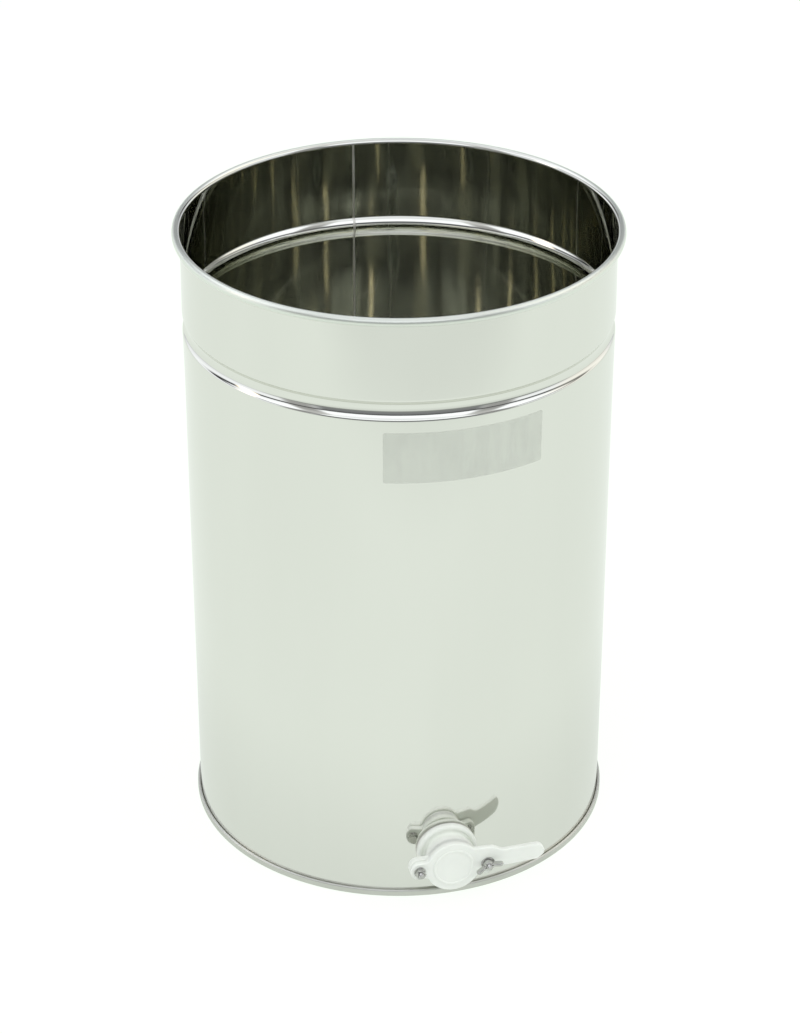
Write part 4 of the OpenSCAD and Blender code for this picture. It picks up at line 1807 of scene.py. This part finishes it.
@dataclass(frozen=True)
class Sector:
    """One side of the surroundings: where it lies, how far it spreads and its colours by height."""

    turn: float
    core: float
    edge: float
    levels: tuple[tuple[float, Colour], ...]

    def share(self, tree: bpy.types.NodeTree, level: Socket) -> Socket:
        """Writes how far a direction belongs to this side: all within its core and none past its edge.

        Args:
            tree: Nodes of the world.
            level: Direction along the ground, of length 1.

        Returns:
            The share, from 0 to 1.
        """
        turn = math.radians(self.turn)
        return faded(tree, level, (math.cos(turn), math.sin(turn), 0.0), self.core, self.edge)

    def colours(self, tree: bpy.types.NodeTree, height: Socket, top: float) -> Socket:
        """Writes this side's colours by the height of the direction, as shares of the brightest.

        Args:
            tree: Nodes of the world.
            height: Height of the direction, from 0 on the horizon to 1 overhead.
            top: Level of the brightest colour.

        Returns:
            The colour.
        """
        ramp = add_node(tree, "ValToRGB", {"Fac": height})
        stops = ramp.color_ramp.elements
        while len(stops) < len(self.levels):
            stops.new(0.5)
        for stop, (place, colour) in zip(stops, self.levels):
            stop.position = place
            stop.color = (*[part / top for part in colour], 1.0)
        return ramp.outputs["Color"]


def greys(*levels: tuple[float, float], tint: Colour = (1.0, 1.0, 1.0)) -> tuple[tuple[float, Colour], ...]:
    """Works out colours by height from levels by height: each level times a tint.

    Args:
        levels: Pairs of height and level.
        tint: Colour of the light.

    Returns:
        Pairs of height and colour.
    """
    return tuple((place, tuple(level * part for part in tint)) for place, level in levels)


COOL_LIGHT = (0.98, 1.0, 1.04)
WARM_LIGHT = (1.0, 0.98, 0.92)

# Levels of light by height, from the horizon up, that sides of the studio share.
SIDE_SWEEP = ((0.0, 0.70), (0.05, 1.00), (0.24, 1.22), (0.32, 0.95))
SIDE_CEILING = ((0.475, 1.05), (0.54, 1.30), (0.70, 1.36), (0.85, 1.00), (1.0, 0.83))
CORNER_GAP = ((0.36, 0.10), (0.41, 0.08))
CORNER_CEILING = ((0.85, 0.80), (1.0, 0.83))


@dataclass
class Studio:
    """Floor, surroundings, lamps and the camera at the photograph's angle."""

    floor_half: float = 40.0
    floor_drop: float = 0.0005
    floor_tint: Colour = (0.90, 0.92, 0.89)
    floor_rough: float = 0.9
    floor_glow: Colour = (0.895, 0.955, 0.885)
    floor_catch: float = 0.12
    floor_in_metal: float = 0.875
    camera_place: tuple[float, float, float] = (-0.48389, -2.11962, 1.49982)
    camera_tilt: float = 60.514
    camera_turn: float = -12.86
    camera_reach: float = 200.0
    focal_px: float = 2881.13
    frame_px: tuple[float, float] = (800.0, 1034.0)
    middle_px: float = 398.9
    sensor: float = 36.0
    bounces: int = 24
    film_bounces: int = 16
    # Painted shade on the floor, seen only in metal: where each fall starts and ends, in metres, and what it
    # leaves.
    painted_front_shade: tuple[float, float, float] = (0.72, 1.25, 0.89)
    painted_far_shade: tuple[float, float, float] = (1.5, 3.6, 0.42)
    painted_foot_shadow: tuple[float, float, float] = (0.185, 0.42, 0.92)
    sky: float = 1.6
    sectors: tuple[Sector, ...] = (
        Sector(0.0, 180.0, 180.0, greys(
            *SIDE_SWEEP, (0.365, 0.04), (0.415, 0.03), (0.45, 0.42), *SIDE_CEILING, tint=COOL_LIGHT,
        )),
        Sector(10.0, 6.0, 32.0, greys(
            *SIDE_SWEEP, (0.365, 0.26), (0.415, 0.26), (0.45, 0.60), *SIDE_CEILING, tint=WARM_LIGHT,
        )),
        Sector(76.0, 22.0, 48.0, greys(
            (0.0, 0.70), (0.20, 0.63), (0.30, 0.40), (0.35, 0.03), (0.405, 0.03), (0.455, 0.40),
            (0.52, 0.65), (0.70, 1.20), (0.85, 1.00), (1.0, 0.83), tint=COOL_LIGHT,
        )),
        Sector(-102.0, 38.0, 50.0, greys(
            (0.0, 0.27), (0.28, 0.22), (0.36, 0.07), (0.405, 0.05), (0.43, 0.55), (0.46, 1.05),
            (0.52, 1.40), (0.68, 1.36), (0.83, 0.96), (1.0, 0.83), tint=COOL_LIGHT,
        )),
        Sector(-155.0, 3.0, 12.0, greys(
            (0.0, 0.44), (0.32, 0.42), *CORNER_GAP, (0.46, 0.38), (0.62, 0.46), *CORNER_CEILING,
        )),
        Sector(-51.0, 3.0, 12.0, greys(
            (0.0, 0.42), (0.32, 0.40), *CORNER_GAP, (0.46, 0.36), (0.62, 0.44), *CORNER_CEILING,
        )),
    )
    glows: tuple[SoftGlow, ...] = (
        SoftGlow(170.0, 24.0, 1.0, 9.0, 2.2, (1.0, 0.84, 0.66)),
    )
    boxes: tuple[SoftBox, ...] = (
        SoftBox("key_box", (-1.2, -2.2, 2.4), (0, 0, 0.3), (1.5, 1.1), 22.0),
        SoftBox("fill_box", (2.0, -1.5, 2.3), (0, 0, 0.3), (1.1, 1.1), 12.0),
    )

    def floor_painted_shade(self, sheet: NodeSheet, glossy: Socket) -> Socket:
        """Writes painted shade on the floor that only metal shows: a painted shadow of the tank round its
        foot, a painted fall of light towards the front, and deeper painted shade farther in front.

        Args:
            sheet: Nodes of the floor.
            glossy: Whether metal is what shows it.

        Returns:
            Strength of the floor's white.
        """
        split = add_node(sheet.tree, "SeparateXYZ", {0: sheet.place((1.0, 1.0, 1.0))})
        front = sheet.combine("MULTIPLY", split.outputs["Y"], -1.0)
        # Painted shadow of the tank round its foot, then painted shade towards the front and farther out, for
        # glossy rays only.
        near, far, dim = self.painted_foot_shadow
        loss = sheet.remap(sheet.reach((1.0, 1.0, 1.0)), (near, far), (1.0 - dim, 0.0))
        for near, far, dim in (self.painted_front_shade, self.painted_far_shade):
            loss = sheet.combine("ADD", loss, sheet.remap(front, (near, far), (0.0, 1.0 - dim)))
        loss = sheet.combine("ADD", loss, 1.0 - self.floor_in_metal)
        loss = sheet.combine("MULTIPLY", loss, glossy)
        return sheet.combine("ADD", sheet.combine("MULTIPLY", loss, -1.0), 1.0)

    def floor(self) -> None:
        """Lays the pale floor: white to the eye and through film, white with painted shade in metal, and it
        keeps the shadow.
        """
        half = self.floor_half / MM
        side = np.linspace(-half, half, 3)
        x, y = np.meshgrid(side, side)
        surface = Surface()
        surface.add_grid(np.stack([x, y, np.full_like(x, -self.floor_drop / MM)], axis=-1))
        floor = surface.build("studio_floor")
        sheet = NodeSheet("pale_floor")
        tree = sheet.tree
        sheet.set(Base_Color=(*self.floor_tint, 1.0), Roughness=self.floor_rough, Specular_IOR_Level=0.0)
        path = add_node(tree, "LightPath", {})
        seen = sheet.combine("MAXIMUM", path.outputs["Is Camera Ray"], path.outputs["Is Glossy Ray"])
        seen = sheet.combine("MAXIMUM", seen, path.outputs["Is Transmission Ray"])
        strength = self.floor_painted_shade(sheet, path.outputs["Is Glossy Ray"])
        catch = add_node(tree, "BsdfDiffuse", {"Color": (*[self.floor_catch] * 3, 1.0)})
        glow = add_node(tree, "Emission", {"Color": (*self.floor_glow, 1.0), "Strength": strength})
        both = add_node(tree, "AddShader", {0: catch.outputs[0], 1: glow.outputs[0]})
        pick = add_node(tree, "MixShader", {0: seen, 1: sheet.shader.outputs[0], 2: both.outputs[0]})
        feed(tree, tree.nodes["Material Output"].inputs["Surface"], pick.outputs[0])
        floor.data.materials.append(sheet.material)

    def surroundings(self) -> None:
        """Paints the studio round the tank: by height a sweep, dim walls and a ceiling, and soft glows."""
        world = bpy.data.worlds.new("studio")
        world.use_nodes = True
        bpy.context.scene.world = world
        tree = world.node_tree
        towards = add_node(tree, "TexCoord", {}).outputs["Generated"]
        height = add_node(tree, "SeparateXYZ", {0: towards}).outputs["Z"]
        flat = add_node(tree, "VectorMath", {0: towards, 1: (1.0, 1.0, 0.0)}, operation="MULTIPLY")
        ahead = add_node(tree, "VectorMath", {0: flat.outputs["Vector"]}, operation="NORMALIZE")
        colour = self.sectors[0].colours(tree, height, self.sky)
        for sector in self.sectors[1:]:
            inputs = {
                "Fac": sector.share(tree, ahead.outputs["Vector"]),
                "Color1": colour,
                "Color2": sector.colours(tree, height, self.sky),
            }
            colour = add_node(tree, "MixRGB", inputs).outputs["Color"]
        background = tree.nodes["Background"]
        feed(tree, background.inputs["Color"], colour)
        feed(tree, background.inputs["Strength"], self.sky)
        total = background.outputs["Background"]
        for glow in self.glows:
            total = add_node(tree, "AddShader", {0: total, 1: glow.shader(tree, towards)}).outputs[0]
        white = add_node(tree, "Background", {"Color": (1.0, 1.0, 1.0, 1.0)}).outputs["Background"]
        seen = add_node(tree, "LightPath", {}).outputs["Is Camera Ray"]
        pick = add_node(tree, "MixShader", {0: seen, 1: total, 2: white})
        feed(tree, tree.nodes["World Output"].inputs["Surface"], pick.outputs[0])

    def camera(self) -> None:
        """Sets the camera as the photograph's: its place, turn, focal length and middle."""
        long_side = max(self.frame_px)
        data = bpy.data.cameras.new("photo_camera")
        data.sensor_width = self.sensor
        data.lens = self.focal_px / long_side * self.sensor
        data.shift_x = (self.frame_px[0] / 2 - self.middle_px) / long_side
        data.clip_end = self.camera_reach
        camera = bpy.data.objects.new("photo_camera", data)
        camera.location = self.camera_place
        camera.rotation_euler = (math.radians(self.camera_tilt), 0.0, math.radians(self.camera_turn))
        bpy.context.scene.collection.objects.link(camera)
        bpy.context.scene.camera = camera

    def make(self) -> None:
        """Builds the studio."""
        self.camera()
        self.floor()
        self.surroundings()
        for box in self.boxes:
            box.make()
        scene = bpy.context.scene
        scene.view_settings.view_transform = "Standard"
        scene.cycles.max_bounces = self.bounces
        scene.cycles.glossy_bounces = self.bounces
        scene.cycles.transparent_max_bounces = self.film_bounces


def main() -> None:
    """Builds the tank, its gate and the studio in order."""
    logging.basicConfig(level=logging.INFO, format="%(name)s: %(message)s")
    drum = TankDrum()
    gate = GateFrame(drum)
    parts = [drum, LabelPatch(drum), GateMoulding(gate), GateBlade(gate), GateHardware(gate), Studio()]
    for part in parts:
        part.make()
        LOG.info("finished %s", type(part).__name__)


if __name__ == "__main__":
    main()
